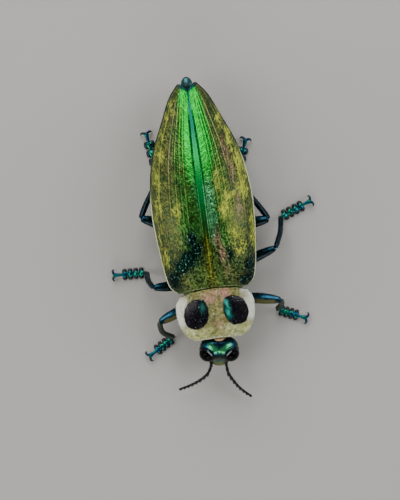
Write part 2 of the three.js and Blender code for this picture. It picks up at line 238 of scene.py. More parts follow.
floor_mesh = bpy.data.meshes.new("floor")
floor_mesh.from_pydata([(-3, -3, 0), (3, -3, 0), (3, 3, 0), (-3, 3, 0)], [], [(0, 1, 2, 3)])
floor = bpy.data.objects.new("floor", floor_mesh)
bpy.context.collection.objects.link(floor)
floor_paint, _ = new_material("pale_floor")
feed(floor_paint, base_color="#afaca7", roughness=0.9, specular_ior_level=0.2)
floor.data.materials.append(floor_paint)
floor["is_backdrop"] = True

# %% [markdown]
# An effect that several materials share is a node group, built once. Each material places it with its own
# values and feeds its shader with what the group puts out.


# %% Helpers for nodes: groups
def new_group(name, **inputs):
    """An empty node group and the sockets that it takes its inputs from. The default tells the kind."""
    group = bpy.data.node_groups.new(name, "ShaderNodeTree")
    for label, value in titled(inputs).items():
        kind = "NodeSocketFloat" if isinstance(value, float) else "NodeSocketColor"
        group.interface.new_socket(name=label, in_out="INPUT", socket_type=kind).default_value = value
    return group, group.nodes.new("NodeGroupInput").outputs


def hand_out(group, **results):
    """Give a group one output for each result."""
    kinds = {"RGBA": "NodeSocketColor", "VALUE": "NodeSocketFloat", "VECTOR": "NodeSocketVector"}
    for label, value in titled(results).items():
        group.interface.new_socket(name=label, in_out="OUTPUT", socket_type=kinds[value.type])
    end = group.nodes.new("NodeGroupOutput")
    for label, value in titled(results).items():
        group.links.new(value, end.inputs[label])
    print(f"{group.name}: {len(group.nodes)} nodes")


def effect(tree, group, **values):
    """Place a group in a material with its own values."""
    return wire(tree, "ShaderNodeGroup", titled(values), node_tree=group).outputs


def finish_with(material, found, **own):
    """Feed the shader what an effect puts out, apart from the sockets that get a value of their own."""
    sockets = {"base_color": found["Color"], "roughness": found["Roughness"], "normal": found["Normal"]}
    if "Metallic" in found:
        sockets["metallic"] = found["Metallic"]
    feed(material, **{**sockets, **own})


print("helpers: new_group, hand_out, effect, finish_with")

# %% [markdown]
# A studio for shiny things is mostly big soft lights, because a metal shows what it mirrors. One broad
# light stands over the tail, so that the hind half of the wing cases throws it at the camera. Three more
# fill the other sides.

# %% Lights
LIGHTS = {
    "light_over_tail": ((-50, 520, 400), (0.5, 0.46), 3.5, (1, 1, 1)),
    "light_left": ((470, 40, 330), (0.3, 0.5), 1.8, (0.93, 0.97, 1.0)),
    "light_right": ((-470, -40, 330), (0.3, 0.5), 1.7, (1.0, 0.98, 0.95)),
    "light_front": ((-60, -520, 210), (0.4, 0.2), 1.3, (1.0, 0.97, 0.92)),
}
LIGHTS_FACE = (0, 8, 8)
for name, (place, size, watts, colour) in LIGHTS.items():
    data = bpy.data.lights.new(name, "AREA")
    data.shape = "RECTANGLE"
    data.size, data.size_y = size
    data.energy = watts
    data.color = colour
    lamp = bpy.data.objects.new(name, data)
    lamp.location = to_metres(place)
    x, y, z = np.subtract(LIGHTS_FACE, place)
    lamp.rotation_euler = (math.atan2(math.hypot(x, y), -z), 0, math.atan2(y, x) - math.pi / 2)
    bpy.context.collection.objects.link(lamp)
print("lights:", ", ".join(LIGHTS))

# %% [markdown]
# The world is dim overhead and lighter towards the horizon, as in a room with a dark ceiling, so that
# flat black parts stay black from above while edges still catch a glow.

# %% World
world = bpy.data.worlds.new("studio")
world.use_nodes = True
sky = world.node_tree
direction = wire(sky, "ShaderNodeTexCoord").outputs["Generated"]
upward = wire(sky, "ShaderNodeSeparateXYZ", {0: direction}).outputs["Z"]
fade = wire(sky, "ShaderNodeValToRGB", {"Fac": upward})
horizon, ceiling = fade.color_ramp.elements
horizon.position, horizon.color = 0.1, (0.44, 0.46, 0.48, 1)
ceiling.position, ceiling.color = 0.9, (0.1, 0.11, 0.12, 1)
plug(sky, fade.outputs["Color"], sky.nodes["Background"].inputs["Color"])
bpy.context.scene.world = world
print("world fades from", [round(v, 2) for v in horizon.color], "to", [round(v, 2) for v in ceiling.color])

# %% [markdown]
# Two effects turn up on most of the skin, so each is a node group. The first is the wax bloom, a fine
# yellow or cream powder that a young beetle sweats out of its skin. It lies in grains: where there is
# little of it, single grains show on the shiny skin, and where there is much they close up to a matt
# coat that stands a little proud.

# %% Node group: wax bloom
WHITE = (1, 1, 1, 1)
bloom, given = new_group(
    "wax_bloom", skin=(0, 0, 0, 1), skin_metal=0.8, skin_gloss=0.3, wax=WHITE, amount=0.5, grain=0.0002,
    clumps=0.5,
)
scale = sums(bloom, "DIVIDE", 1.0, given["Grain"])
grains = noise(bloom, scale, 3.0)
coarse = noise(bloom, sums(bloom, "DIVIDE", scale, 6.0), 2.0)
heaps = sums(bloom, "MULTIPLY", sums(bloom, "SUBTRACT", coarse, 0.5), given["Clumps"])
powder = sums(bloom, "ADD", sums(bloom, "MULTIPLY", grains, 0.9), heaps)
level = sums(bloom, "ADD", sums(bloom, "SUBTRACT", powder, 0.95), given["Amount"])
cover = soft_step(bloom, level, -0.32, 0.42)
# Between the grains the wax is darkened to 0.6: painted shade.
between_grains = soft_step(bloom, grains, 0.62, 0.35)
painted_shade = blend_colours(bloom, between_grains, given["Wax"], (0.6, 0.6, 0.5, 1), "MULTIPLY")
hand_out(
    bloom,
    color=blend_colours(bloom, cover, given["Skin"], painted_shade),
    metallic=blend_numbers(bloom, cover, given["Skin Metal"], 0.0),
    roughness=blend_numbers(bloom, cover, given["Skin Gloss"], 0.85),
    normal=bumps(bloom, 0.35, 0.00006, sums(bloom, "MULTIPLY", cover, grains)),
)

# %% [markdown]
# The second is what gives bare insect skin its life: it is never one even gloss. Tiny pits break the
# mirror, their floors are darkened with painted shade, and the shine varies from place to place.

# %% Node group: pitted skin
pitted, given = new_group("pitted_skin", color=(0, 0, 0, 1), gloss=0.25, pit_size=0.00025, depth=0.3)
scale = sums(pitted, "DIVIDE", 1.0, given["Pit Size"])
cells = wire(pitted, "ShaderNodeTexVoronoi", {"Vector": body_place(pitted), "Scale": scale})
floor_to_edge = soft_step(pitted, cells.outputs["Distance"], 0.05, 0.4)
# The pit floors are darkened to 0.45 grey: painted shade.
painted_shade = blend_colours(pitted, floor_to_edge, (0.45, 0.45, 0.45, 1), WHITE)
clouds = noise(pitted, sums(pitted, "DIVIDE", scale, 5.0), 3.0)
hand_out(
    pitted,
    color=blend_colours(pitted, 1.0, given["Color"], painted_shade, "MULTIPLY"),
    roughness=sums(pitted, "ADD", given["Gloss"], sums(pitted, "MULTIPLY", clouds, 0.15)),
    normal=bumps(pitted, given["Depth"], 0.00004, floor_to_edge),
)

# %% [markdown]
# Next come the tools for shapes. A body part's outline is given by a handful of places that a smooth line
# passes through. This is the same line that the frame's solids use, so the new surfaces lie on them.


# %% Smooth lines
def along(points, t):
    """The smooth line through (t, value) points. Between two points it blends from one value to the
    other (3u^2 - 2u^3) and adds a bulge that makes its slope at each point that across its neighbours."""
    at, values = np.asarray(points, float).T
    t = np.clip(t, at[0], at[-1])
    last = len(at) - 1
    before, after = np.clip(np.arange(len(at)) - 1, 0, last), np.clip(np.arange(len(at)) + 1, 0, last)
    slopes = (values[after] - values[before]) / (at[after] - at[before])
    i = np.clip(np.searchsorted(at, t, side="right") - 1, 0, last - 1)
    span = at[i + 1] - at[i]
    u = (t - at[i]) / span
    blend = u * u * (3 - 2 * u)
    bulge = slopes[i] * u * (1 - u) ** 2 - slopes[i + 1] * (1 - u) * u**2
    return values[i] * (1 - blend) + values[i + 1] * blend + span * bulge


def smooth(value, start, end):
    """0 before start, 1 after end, and 3u^2 - 2u^3 between them. Start may be the larger one."""
    u = np.clip((value - start) / (end - start), 0, 1)
    return u * u * (3 - 2 * u)


def hump(value, centre, width):
    """A bell: 1 at the centre, e to the minus square of the distance in widths."""
    return np.exp(-(((value - centre) / width) ** 2))


def signed_power(value, exponent):
    """The size of a value to a power, with the value's own sign."""
    return np.sign(value) * np.abs(value) ** exponent


def round_quarter(u):
    """How wide a quarter circle has grown after a share u of its radius: the root of 1 - (1 - u)^2."""
    return np.sqrt(np.clip(1 - (1 - np.clip(u, 0, 1)) ** 2, 0, 1))


def turn_round(count):
    """Even angles all the way round, the last one short of the first."""
    return np.linspace(0, 2 * np.pi, count, endpoint=False)


print("smooth step a quarter of the way:", smooth(0.25, 0, 1))

# %% [markdown]
# Natural relief needs noise that can be computed for whole arrays at once. We use gradient noise: every
# corner of a grid of cells has a random arrow, and a point's value blends what its eight corners'
# arrows say. Folding it at zero gives sharp crests, as in wrinkles.

# %% Noise
DICE = np.random.default_rng(11)
SHUFFLE = DICE.permutation(256)
ARROWS = DICE.normal(size=(256, 3))
ARROWS /= np.linalg.norm(ARROWS, axis=1, keepdims=True)


def waves(points, cell, seed=0):
    """Gradient noise from about -1 to 1 with cells of the given size (one number, or one for each axis):
    the sum over the cell's corners of (corner's arrow . offset from it) times its share of the point."""
    scaled = np.asarray(points, float) / cell + 13.7 * seed
    corner = np.floor(scaled).astype(int)
    offset = scaled - corner
    share = offset**3 * (offset * (offset * 6 - 15) + 10)
    total = np.zeros(scaled.shape[:-1])
    for step in product((0, 1), repeat=3):
        i, j, k = np.moveaxis((corner + step) & 255, -1, 0)
        arrow = ARROWS[SHUFFLE[(SHUFFLE[(SHUFFLE[i] + j) & 255] + k) & 255]]
        weight = np.where(step, share, 1 - share).prod(-1)
        total += weight * (arrow * (offset - step)).sum(-1)
    return total * 1.7


def crests(points, cell, seed=0):
    """Folded noise, 1 on crest lines and falling to 0 away from them: one less twice the noise's size."""
    return np.clip(1 - 2 * np.abs(waves(points, cell, seed)), 0, 1)


print("noise at one point:", waves([0.3, 0.4, 0.5], 1).round(3))

# %% [markdown]
# Every piece is made of rings: closed loops of points, one after another along the part, joined by
# four-cornered faces. Its two ends are closed, either by a fan around the ring's middle, or by a strip
# for a thin arch, whose ring runs out along its fine outer face and back along its plain inner face,
# where one point in three is enough.


# %% From rings to a closed body
def ring_faces(rows, sides, ends):
    """Corner numbers of the faces between neighbouring rings, and of the faces that close both ends."""
    r, k = np.meshgrid(np.arange(rows - 1), np.arange(sides), indexing="ij")
    a, b = r * sides + k, r * sides + (k + 1) % sides
    faces = np.stack([a, b, b + sides, a + sides], -1).reshape(-1, 4).tolist()
    last = (rows - 1) * sides
    if ends == "fan":
        k = np.arange(sides)
        n = (k + 1) % sides
        faces += np.stack([np.full(sides, rows * sides), n, k], -1).tolist()
        faces += np.stack([np.full(sides, rows * sides + 1), last + k, last + n], -1).tolist()
    else:
        k = np.arange((sides - 2) // 4)
        strip = np.stack([sides - 1 - k, sides - 2 - k, 3 * k + 3, 3 * k + 2, 3 * k + 1, 3 * k], -1)
        faces += strip.tolist() + (last + strip[:, ::-1]).tolist()
    return faces


def inside_out(points, faces):
    """Whether the faces point inwards: six times the volume they hold, summed over triangles, is
    negative."""
    corners = np.array([face[:3] for face in faces] + [[f[0], f[2], f[3]] for f in faces if len(f) == 4])
    a, b, c = points[corners].transpose(1, 0, 2)
    return (a * np.cross(b, c)).sum() < 0


def close_up(rings, marks=None, ends="fan"):
    """One closed body: its points, its faces, and its masks as one row of numbers for each name."""
    rows, sides, _ = rings.shape
    points = rings.reshape(-1, 3)
    masks = {name: np.broadcast_to(value, (rows, sides)).ravel() for name, value in (marks or {}).items()}
    if ends == "fan":
        points = np.vstack([points, rings[0].mean(0), rings[-1].mean(0)])
        for name, value in masks.items():
            masks[name] = np.concatenate([value, [value[:sides].mean(), value[-sides:].mean()]])
    faces = ring_faces(rows, sides, ends)
    if inside_out(points - points.mean(0), faces):
        faces = [face[::-1] for face in faces]
    return points, faces, masks


print("a box of 2 rings with 4 sides has", len(ring_faces(2, 4, "fan")), "faces")

# %% [markdown]
# A piece joins one or more closed bodies in a single mesh. Its masks become point attributes, which the
# materials read by name. Fine relief is put on by lifting each point of a plain surface along its normal.


# %% From closed bodies to a piece
def add_piece(name, bodies, material, node):
    """Join closed bodies into one smooth-shaded object that stands for a node of the frame."""
    start, faces = 0, []
    for points, body_faces, _ in bodies:
        faces += [[start + i for i in face] for face in body_faces]
        start += len(points)
    mesh = bpy.data.meshes.new(name)
    mesh.from_pydata(to_metres(np.vstack([points for points, _, _ in bodies])).tolist(), [], faces)
    for mask in bodies[0][2]:
        values = np.concatenate([masks[mask] for _, _, masks in bodies])
        mesh.attributes.new(mask, "FLOAT", "POINT").data.foreach_set("value", values.astype(np.float32))
    mesh.shade_smooth()
    mesh.materials.append(material)
    piece = bpy.data.objects.new(name, mesh)
    bpy.context.collection.objects.link(piece)
    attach(piece, "root")
    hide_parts(node)
    print(f"{name}: {len(faces)} faces")


def lift(rings, height, around=True):
    """Move each point of a surface out along its normal, which is across the two directions of the grid.
    Gives the new points and the normals."""
    down = np.gradient(rings, axis=0)
    if around:
        across = (np.roll(rings, -1, 1) - np.roll(rings, 1, 1)) / 2
        centre = rings.mean(1, keepdims=True)
    else:
        across = np.gradient(rings, axis=1)
        centre = rings.mean((0, 1))
    normal = np.cross(down, across)
    normal /= np.linalg.norm(normal, axis=-1, keepdims=True) + 1e-9
    if ((rings - centre) * normal).sum() < 0:
        normal = -normal
    return rings + normal * height[..., None], normal


# %% [markdown]
# Limbs and feelers are all one idea: a section carried along a path. The path is a smooth line through a
# few joints, and the section an ellipse whose width and height change on the way. Rounded tips come from
# letting both fall to nothing over the last bit, as a quarter circle does.


# %% A section carried along a path
def path_through(joints, shares):
    """Points at shares of a smooth path through the joints, spaced by the distance between them."""
    joints = np.asarray(joints, float)
    reach = np.concatenate([[0], np.cumsum(np.linalg.norm(np.diff(joints, axis=0), axis=1))])
    return np.stack([along(np.stack([reach / reach[-1], joints[:, i]], 1), shares) for i in range(3)], -1)


def path_length(path):
    """The sum of the steps from point to point."""
    return np.linalg.norm(np.diff(path, axis=0), axis=1).sum()


def tip_rounding(shares, length, start, end):
    """A quarter circle at each end, with radii start and end in millimetres."""
    return round_quarter(shares * length / start) * round_quarter((1 - shares) * length / end) + 1e-4


def limb_width(profile, shares, length, start, end):
    """Half-widths along a limb: the smooth line through the profile, times the rounding of both tips."""
    return along(profile, shares) * tip_rounding(shares, length, start, end)


def carry(path, half_width, half_height, sides):
    """Rings around a path: centre + side vector * width * cos + over vector * height * sin. Side is level,
    across the path and the vertical, and over is across both."""
    forward = np.gradient(path, axis=0)
    forward /= np.linalg.norm(forward, axis=1, keepdims=True)
    side = np.cross(forward, (0, 0, 1))
    side /= np.linalg.norm(side, axis=1, keepdims=True)
    over = np.cross(side, forward)
    angle = turn_round(sides)
    wide = np.reshape(half_width, (len(path), -1)) * np.cos(angle)
    high = np.reshape(half_height, (len(path), -1)) * np.sin(angle)
    return path[:, None] + side[:, None] * wide[..., None] + over[:, None] * high[..., None]


bent = path_through([(0, 0, 0), (1, 0, 0), (1, 1, 0)], np.linspace(0, 1))
print("a path bent through a square corner is", path_length(bent).round(3), "long")

# %% [markdown]
# ## The wing cases
#
# The hard front wings close over the body as two long arched shells. Each has a rolled pale rim, a raised
# strip along the seam with a groove beside it, five long ribs that run together at the tip, and between
# them fine slanting wrinkles, which turn to coarse pits near the shoulders. We could paint all that as a
# bump, but ribs catch the light on their flanks and show in outline, so they are real relief here. The
# plain arch comes first.

# %% Wing case: the plain arch
WING_END = 43.7
WING = {
    "half_width": [(-1, 7.6), (0.5, 9.1), (5, 10.1), (16.5, 11.05), (24, 10.4), (30, 8.95), (36, 6.45),
                   (41, 4.2), (WING_END, 2.1)],
    "top": [(-1, 14.6), (4, 16.3), (13, 17), (24, 16), (34, 13), (40, 10.7), (WING_END, 9.2)],
    "margin": [(-1, 9.2), (8, 8.9), (22, 8.6), (34, 7.9), (WING_END, 7.4)],
}
WING_ROUNDNESS = 2.25
SHELL = 0.55
FLARE = 0.3
SEAM_GAP = 0.01
WEDGE = 1.7


def wing_arch(side, s, q, depth):
    """A wing case point. s runs from the front edge to the hind edge and q from the seam to the side.
    Across, it is a superellipse: x = W sin(a)^(2/n) and z = margin + (top - margin) cos(a)^(2/n), with
    a = q * 90 degrees. The hind edge is cut back at the seam by a wedge that fades forwards as s^8."""
    angle = q * np.pi / 2
    front = -0.35 - 0.6 * np.minimum(1, 1.5 * q)
    y = front * (1 - s) + WING_END * s
    power = 2 / WING_ROUNDNESS
    reach, rise = np.sin(angle) ** power, np.clip(np.cos(angle), 0, 1) ** power
    x = SEAM_GAP + (along(WING["half_width"], y) - FLARE - depth - SEAM_GAP) * reach
    cut = WEDGE * np.maximum(0, 1 - x / WEDGE) * s**8
    margin = along(WING["margin"], y)
    z = margin + (along(WING["top"], y) - depth - margin) * rise
    return np.stack([side * x, y - cut, z], -1)


print("widest place of the wing cases (mm):", max(width for _, width in WING["half_width"]) * 2)

# %% [markdown]
# The relief is worked out from distances over the shell: from the seam, from the side margin, from the
# front edge and from the nearest rib. A hump of such a distance is a rib, a groove or a rim. The same
# distances place the colours later, so the function gives them back too.

# %% Wing case: ribs, wrinkles and pits
RIBS = (0.29, 0.37, 0.47, 0.6, 0.8)
STRIP_WIDTH = [(0, 0.72), (26, 0.7), (33, 0.5), (38, 0.32), (43, 0.22)]


def wing_relief(arch, side):
    """Height over the plain arch in millimetres: ribs and the strip stand up as humps, grooves and flanks
    of ribs sink, and wrinkles (folded noise, stretched along a slant) and pits fill what is left. Pushes
    the rolled margin of the arch out as well."""
    stepped = np.linalg.norm(np.diff(arch, axis=1), axis=-1)
    seam = np.concatenate([np.zeros((len(arch), 1)), np.cumsum(stepped, 1)], 1)
    margin = seam[:, -1:] - seam
    y = arch[..., 1]
    front = y - arch[:1, :, 1]
    half_width = along(WING["half_width"], y)
    out = np.abs(arch[..., 0]) / half_width
    flat = np.stack([seam, y, np.full_like(y, side * 40)], -1)
    arch[..., 0] += side * FLARE * smooth(margin, 0.62, 0.12)

    wander = 0.008 * waves(flat, 6.0, 1)
    from_rib = np.abs([(out - rib - wander) * half_width for rib in RIBS]).min(0)
    fade = smooth(y, 9, 20) * smooth(y, 42, 38) * smooth(margin, 0.3, 1) * smooth(from_rib, 2, 1)
    ribs, flanks = hump(from_rib, 0, 0.12) * fade, hump(from_rib, 0.27, 0.1) * fade
    slant = np.stack([0.84 * seam - 0.54 * y, 0.54 * seam + 0.84 * y, flat[..., 2]], -1)
    slant[..., 0] += 0.12 * waves(flat, 1.1, 2)
    wrinkles = (0.65 * crests(slant, (0.33, 0.95, 1), 3) + 0.35 * crests(slant, (0.5, 2.1, 1), 8)) ** 1.5
    pits = crests(flat + 0.2 * waves(flat, 0.7, 4)[..., None], (0.5, 0.7, 1), 5) ** 1.5
    towards_base = 1 - smooth(y, 7, 17)
    strip_width = along(STRIP_WIDTH, y)
    strip = smooth(seam, strip_width * 0.92, strip_width * 0.75) * smooth(y, 6, 15)
    groove = hump(seam, strip_width + 0.08, 0.12) * smooth(y, 4, 12) * smooth(y, 40, 33)
    rim = np.maximum(hump(margin, 0.32, 0.3), 0.55 * hump(front, 0.14, 0.13) * smooth(out, 0.05, 0.2))
    calm = (1 - strip) * (1 - 0.75 * ribs) * (1 - rim)
    crust = (wrinkles * (1 - towards_base) + pits * towards_base) * calm

    height = 0.1 * ribs - 0.05 * flanks + (0.12 + 0.03 * towards_base) * crust
    height = height + 0.05 * strip - 0.16 * groove
    height = height + 0.1 * hump(front, 0.16, 0.17) - 0.08 * hump(margin, 0.5, 0.2)
    return height, {
        "flat": flat, "seam": seam, "strip_width": strip_width, "margin": margin, "front": front,
        "out": out, "crust": crust, "ribs": ribs, "flanks": flanks, "rim": rim,
    }


print("ribs, as shares of the half-width:", RIBS)

# %% [markdown]
# Colour on the wing cases lies in zones: burning emerald along the seam over the hind half, dark forest
# green beside it and olive further out. On top of that come patches: yellow wax, bare blue-black places
# near the shoulders, a few rosy smears and some frosty green by the seam. They are soft ovals with edges
# frayed by noise, each given by its centre (x, y), its two radii and, if it is a weak one, its strength.
# The key of each list is the side of the body, 1 for left and -1 for right.

# %% Wing case: ovals of colour
YELLOW = {
    1: [(6.0, 36, 0.8, 3), (7.3, 31, 0.8, 2.6), (8.7, 25.5, 1.3, 3.8), (9.1, 20, 1.2, 3.6),
        (6.0, 18.2, 2.3, 1.8, 0.75), (4.6, 15.6, 1.4, 2.7, 0.85), (6.2, 10.8, 1.9, 3, 0.75),
        (7.0, 7.4, 1.1, 2.2), (10, 11, 0.7, 6), (4.1, 21.5, 1.4, 4.2, 0.6)],
    -1: [(-4.0, 39.3, 0.7, 2.6), (-5.5, 36, 0.9, 2.4), (-6.5, 32.6, 1.2, 2.4), (-7.6, 29, 1.5, 2.8),
         (-8.9, 23.6, 1.2, 3.8), (-9.2, 18, 1.0, 3.4), (-5.3, 15.8, 0.9, 3), (-8.8, 6.2, 0.8, 3.4),
         (-9.6, 12, 0.6, 3.5), (-6.6, 11, 1.6, 3.6, 0.45)],
}
BARE = {
    1: [(4.4, 5.8, 0.8, 1.3), (8.6, 2.6, 1.6, 3.6), (7.4, 0.4, 2.0, 1.3)],
    -1: [(-4.0, 6.3, 2.5, 2.1), (-2.5, 7.8, 1.8, 2.1), (-5.8, 4.6, 2.0, 1.9), (-7.8, 2.2, 1.6, 2.5),
         (-3, 10.5, 1.2, 2.2)],
}
ROSY = {
    1: [(2.2, 9.4, 0.7, 2.2), (2.8, 6.8, 0.7, 1.9), (3.3, 3.4, 0.9, 2.0, 0.4), (7.6, 16.8, 0.6, 3.2, 0.6),
        (5.9, 28.9, 0.35, 2.2), (6.7, 26.3, 0.4, 2.6), (7.1, 22.8, 0.4, 2.2)],
    -1: [(-5.4, 29.5, 0.25, 3.0, 0.4), (-5.9, 25, 0.25, 3, 0.5)],
}
FROSTED = {
    1: [(1.6, 18.5, 0.9, 3.4), (1.55, 14, 1.0, 3.4), (1.5, 10.5, 0.8, 2)],
    -1: [(-1.2, 20, 0.4, 3, 0.3)],
}


def patches(points, ovals, fray, seed):
    """The strongest of several ovals at each point: strength * exp(-(dx^2 + dy^2)^1.15), with dx and dy in
    radii. Noise moves the points first, which frays the outlines."""
    x = points[..., 0] + fray * waves(points, 1.6, seed) + 0.4 * fray * waves(points, 0.5, seed + 1)
    y = points[..., 1] + 1.6 * fray * waves(points, 2.4, seed + 2)
    found = []
    for cx, cy, rx, ry, *strength in ovals:
        found.append(np.exp(-((((x - cx) / rx) ** 2 + ((y - cy) / ry) ** 2) ** 1.15)) * (strength or [1])[0])
    return np.max(found, 0)


print("ovals of wax:", sum(map(len, YELLOW.values())))

# %% [markdown]
# Each zone is a mask: a smooth step of a distance, made ragged by noise where the real edge is ragged. The
# colours aren't alike on both sides, as no two wing cases wear alike, so a few numbers depend on the side.

# %% Wing case: masks
EMERALD_REACH = [(4, 0.05), (12, 0.07), (20, 0.16), (26, 0.3), (32, 0.38), (38, 0.46), (43, 0.55)]


def wing_marks(arch, side, found):
    """The masks that the wing material reads, worked out from the distances that wing_relief found."""
    y, out, seam, margin, flat = arch[..., 1], found["out"], found["seam"], found["margin"], found["flat"]
    reach = along(EMERALD_REACH, y) * (0.93 + 0.07 * side)
    ragged = out + 0.04 * waves(flat, (0.9, 2.2, 1), 7)
    strip = smooth(seam, found["strip_width"] * 1.04, found["strip_width"] * 0.86)
    beside_strip = hump(seam, found["strip_width"] + 0.1, 0.14) * smooth(y, 2, 8) * smooth(y, 40, 34)
    worn_rim = smooth(y, 21 + 3 * side, 28 + 4 * side) * smooth(found["front"], 1, 2)
    return {
        "emerald": smooth(ragged, reach * 1.35, reach * 0.7) * smooth(y, 15, 32) * (1 - 0.75 * strip),
        "strip": strip * smooth(y, 11, 19),
        "forest": smooth(out + 0.07 * waves(flat, 3.0, 6), 0.62, 0.34) * (0.35 + 0.65 * smooth(y, 2, 12)),
        "crest": np.clip(found["crust"] + 0.6 * found["ribs"], 0, 1),
        # The groove mask is painted near-black: painted shade in the groove beside the strip and on the rib
        # flanks.
        "groove": np.clip(beside_strip + 0.7 * found["flanks"] * smooth(out, 0.15, 0.3), 0, 1),
        # The line mask is partly straw colour and partly painted highlight on the rib crests.
        "line": found["ribs"] * smooth(waves(flat, (1.2, 2.6, 1), 9), -0.5, 0.4) * smooth(out, 0.15, 0.35),
        "wax": patches(arch, YELLOW[side], 0.9, 20 + side) * (1.2 if side > 0 else 0.86),
        "bare": np.minimum(1, 1.35 * patches(arch, BARE[side], 0.55, 30 + side)),
        "rosy": patches(arch, ROSY[side], 0.45, 40 + side),
        "frost": patches(arch, FROSTED[side], 0.4, 50 + side),
        "rim": found["rim"] * (1 - worn_rim) * smooth(margin, 0.06, 0.2),
        "edge": smooth(margin, 0.3, 0.1),
        "dusk": 0.85 * strip * smooth(y, 23, 35) + smooth(y - arch[-1:, :, 1], -0.9, -0.3),
        "gold": smooth(seam + 0.3 * waves(flat, 1.2, 10), 1.5, 0.4) * smooth(y, 13, 7),
        "honey": smooth(seam, 0.2, 0.05) * smooth(y, 12.5, 9) * smooth(y, 0.8, 2.0),
    }


print("emerald ends at these shares of the half-width:", [share for _, share in EMERALD_REACH])

# %% [markdown]
# The material starts from the olive skin and lays each zone over it. The wax bloom then decides where
# powder covers metal: little of it on emerald, strip and bare skin, more on crests than in hollows. Last,
# the hollows between wrinkles are darkened with painted shade and the crests lightened with painted
# highlight, because so fine a relief throws hardly any shadow.

# %% Material: wing case
wing_paint, tree = new_material("wing_case_metal")
skin = layers(
    tree,
    blend_colours(tree, "forest", "#5c6428", "#408438"),
    (blotches(tree, 0.0022, 3.0, 0.4, 0.7), "#345420"),
    ("strip", "#0a883e"),
    ("emerald", "#00bc3a"),
    ("frost", "#5cb47a"),
    ("rosy", "#ac806e", 0.85),
    # The pale specks in the bare places are painted glints.
    ("bare", blend_colours(tree, blotches(tree, 0.0004, 1.0, 0.62, 0.7), "#02261f", "#6f9a8e")),
    ("gold", "#66680c", 0.7),
    ("honey", "#949c30"),
    ("dusk", "#164446"),
    # Pale rib lines: partly straw colour, partly painted highlight on the crests.
    ("line", "#a3b450", 0.45),
    # Painted shade: the grooves and the flanks of the ribs are darkened to near-black.
    ("groove", "#02180c"),
    ("edge", "#1d5c50"),
)
amount = blend_numbers(tree, "wax", 0.42, 1.02)
for shiny in ("bare", "emerald", "strip"):
    amount = sums(tree, "MULTIPLY", amount, sums(tree, "SUBTRACT", 1.0, shiny))
in_hollow = sums(tree, "SUBTRACT", 1.0, "crest")
amount = sums(tree, "SUBTRACT", amount, sums(tree, "MULTIPLY", in_hollow, 0.5))
amount = sums(tree, "MAXIMUM", amount, sums(tree, "MULTIPLY", "rim", 1.1))
metal = blend_numbers(tree, sums(tree, "MAXIMUM", "forest", "bare", "emerald"), 0.55, 0.96)
gloss = blend_numbers(tree, "emerald", 0.34, 0.44)
wax = layers(tree, blend_colours(tree, "wax", "#748434", "#cfd544"), ("rim", "#dfe3b8"))
coat = effect(
    tree, bloom, skin=skin, skin_metal=metal, skin_gloss=gloss, wax=wax, amount=amount, grain=0.00016,
    clumps=0.2,
)
# Painted shade in the hollows between wrinkles and painted highlight on their crests.
painted_light_and_shade = blend_colours(tree, "crest", (0.28, 0.32, 0.25, 1), (1.25, 1.25, 1.2, 1))
even = sums(tree, "MAXIMUM", "rim", "honey", "strip", sums(tree, "MULTIPLY", "emerald", 0.25))
painted_light_and_shade = blend_colours(tree, even, painted_light_and_shade, WHITE)
shaded = blend_colours(tree, 1.0, coat["Color"], painted_light_and_shade, "MULTIPLY")
finish_with(wing_paint, coat, base_color=shaded)

# %% [markdown]
# To put a wing case together, its outer face gets the relief and its inner face stays plain. The masks
# are 0 on the inner face. One extra row close to each edge makes the shading turn sharply there.


# %% Wing case: put together
def edged(count):
    """Even shares from 0 to 1 with one more close to each end."""
    return np.sort(np.append(np.linspace(0, 1, count - 2), [0.0006, 0.9994]))


s, q = edged(430)[:, None], edged(151)[None, :]
for hand, side in HANDS.items():
    arch = wing_arch(side, s, q, 0.0)
    height, found = wing_relief(arch, side)
    outer, _ = lift(arch, height, around=False)
    inner = wing_arch(side, s, q[:, ::3], SHELL)[:, ::-1]
    marks = wing_marks(arch, side, found)
    both = {name: np.pad(value, ((0, 0), (0, inner.shape[1]))) for name, value in marks.items()}
    body = close_up(np.concatenate([outer, inner], 1), both, ends="strip")
    add_piece(f"wing_case_{hand}", [body], wing_paint, f"elytron_{hand}")

# %% [markdown]
# ## The shield
#
# Behind the head lies the shield (the pronotum), one ring of skin that goes right round the body. Its hind
# edge is drawn back in the middle and its corners reach forward. We make it of rings across the body, each
# a flattened oval with its own width and height above and below the side margin. The same rings make the
# trunk later.


# %% Rings across the body
def trunk_rings(shape, y, corners_forward, sides):
    """x = W cos(a)^(2/n) and z = margin + H sin(a)^(2/n). H is the height over the margin in the upper half
    and the depth under it in the lower half. The sides are drawn forwards by corners * (x / W)^2."""
    angle = turn_round(sides)[None, :]
    y = np.asarray(y, float)[:, None]
    line = {key: along(points, y) for key, points in shape.items()}
    power = 2 / np.where(np.sin(angle) > 0, line["upper"], line["lower"])
    reach, rise = signed_power(np.cos(angle), power), signed_power(np.sin(angle), power)
    height = np.where(rise > 0, line["top"] - line["margin"], line["margin"] - line["bottom"])
    forward = np.reshape(corners_forward, (-1, 1)) * reach**2
    return np.stack([line["half_width"] * reach, y - forward, line["margin"] + height * rise], -1)


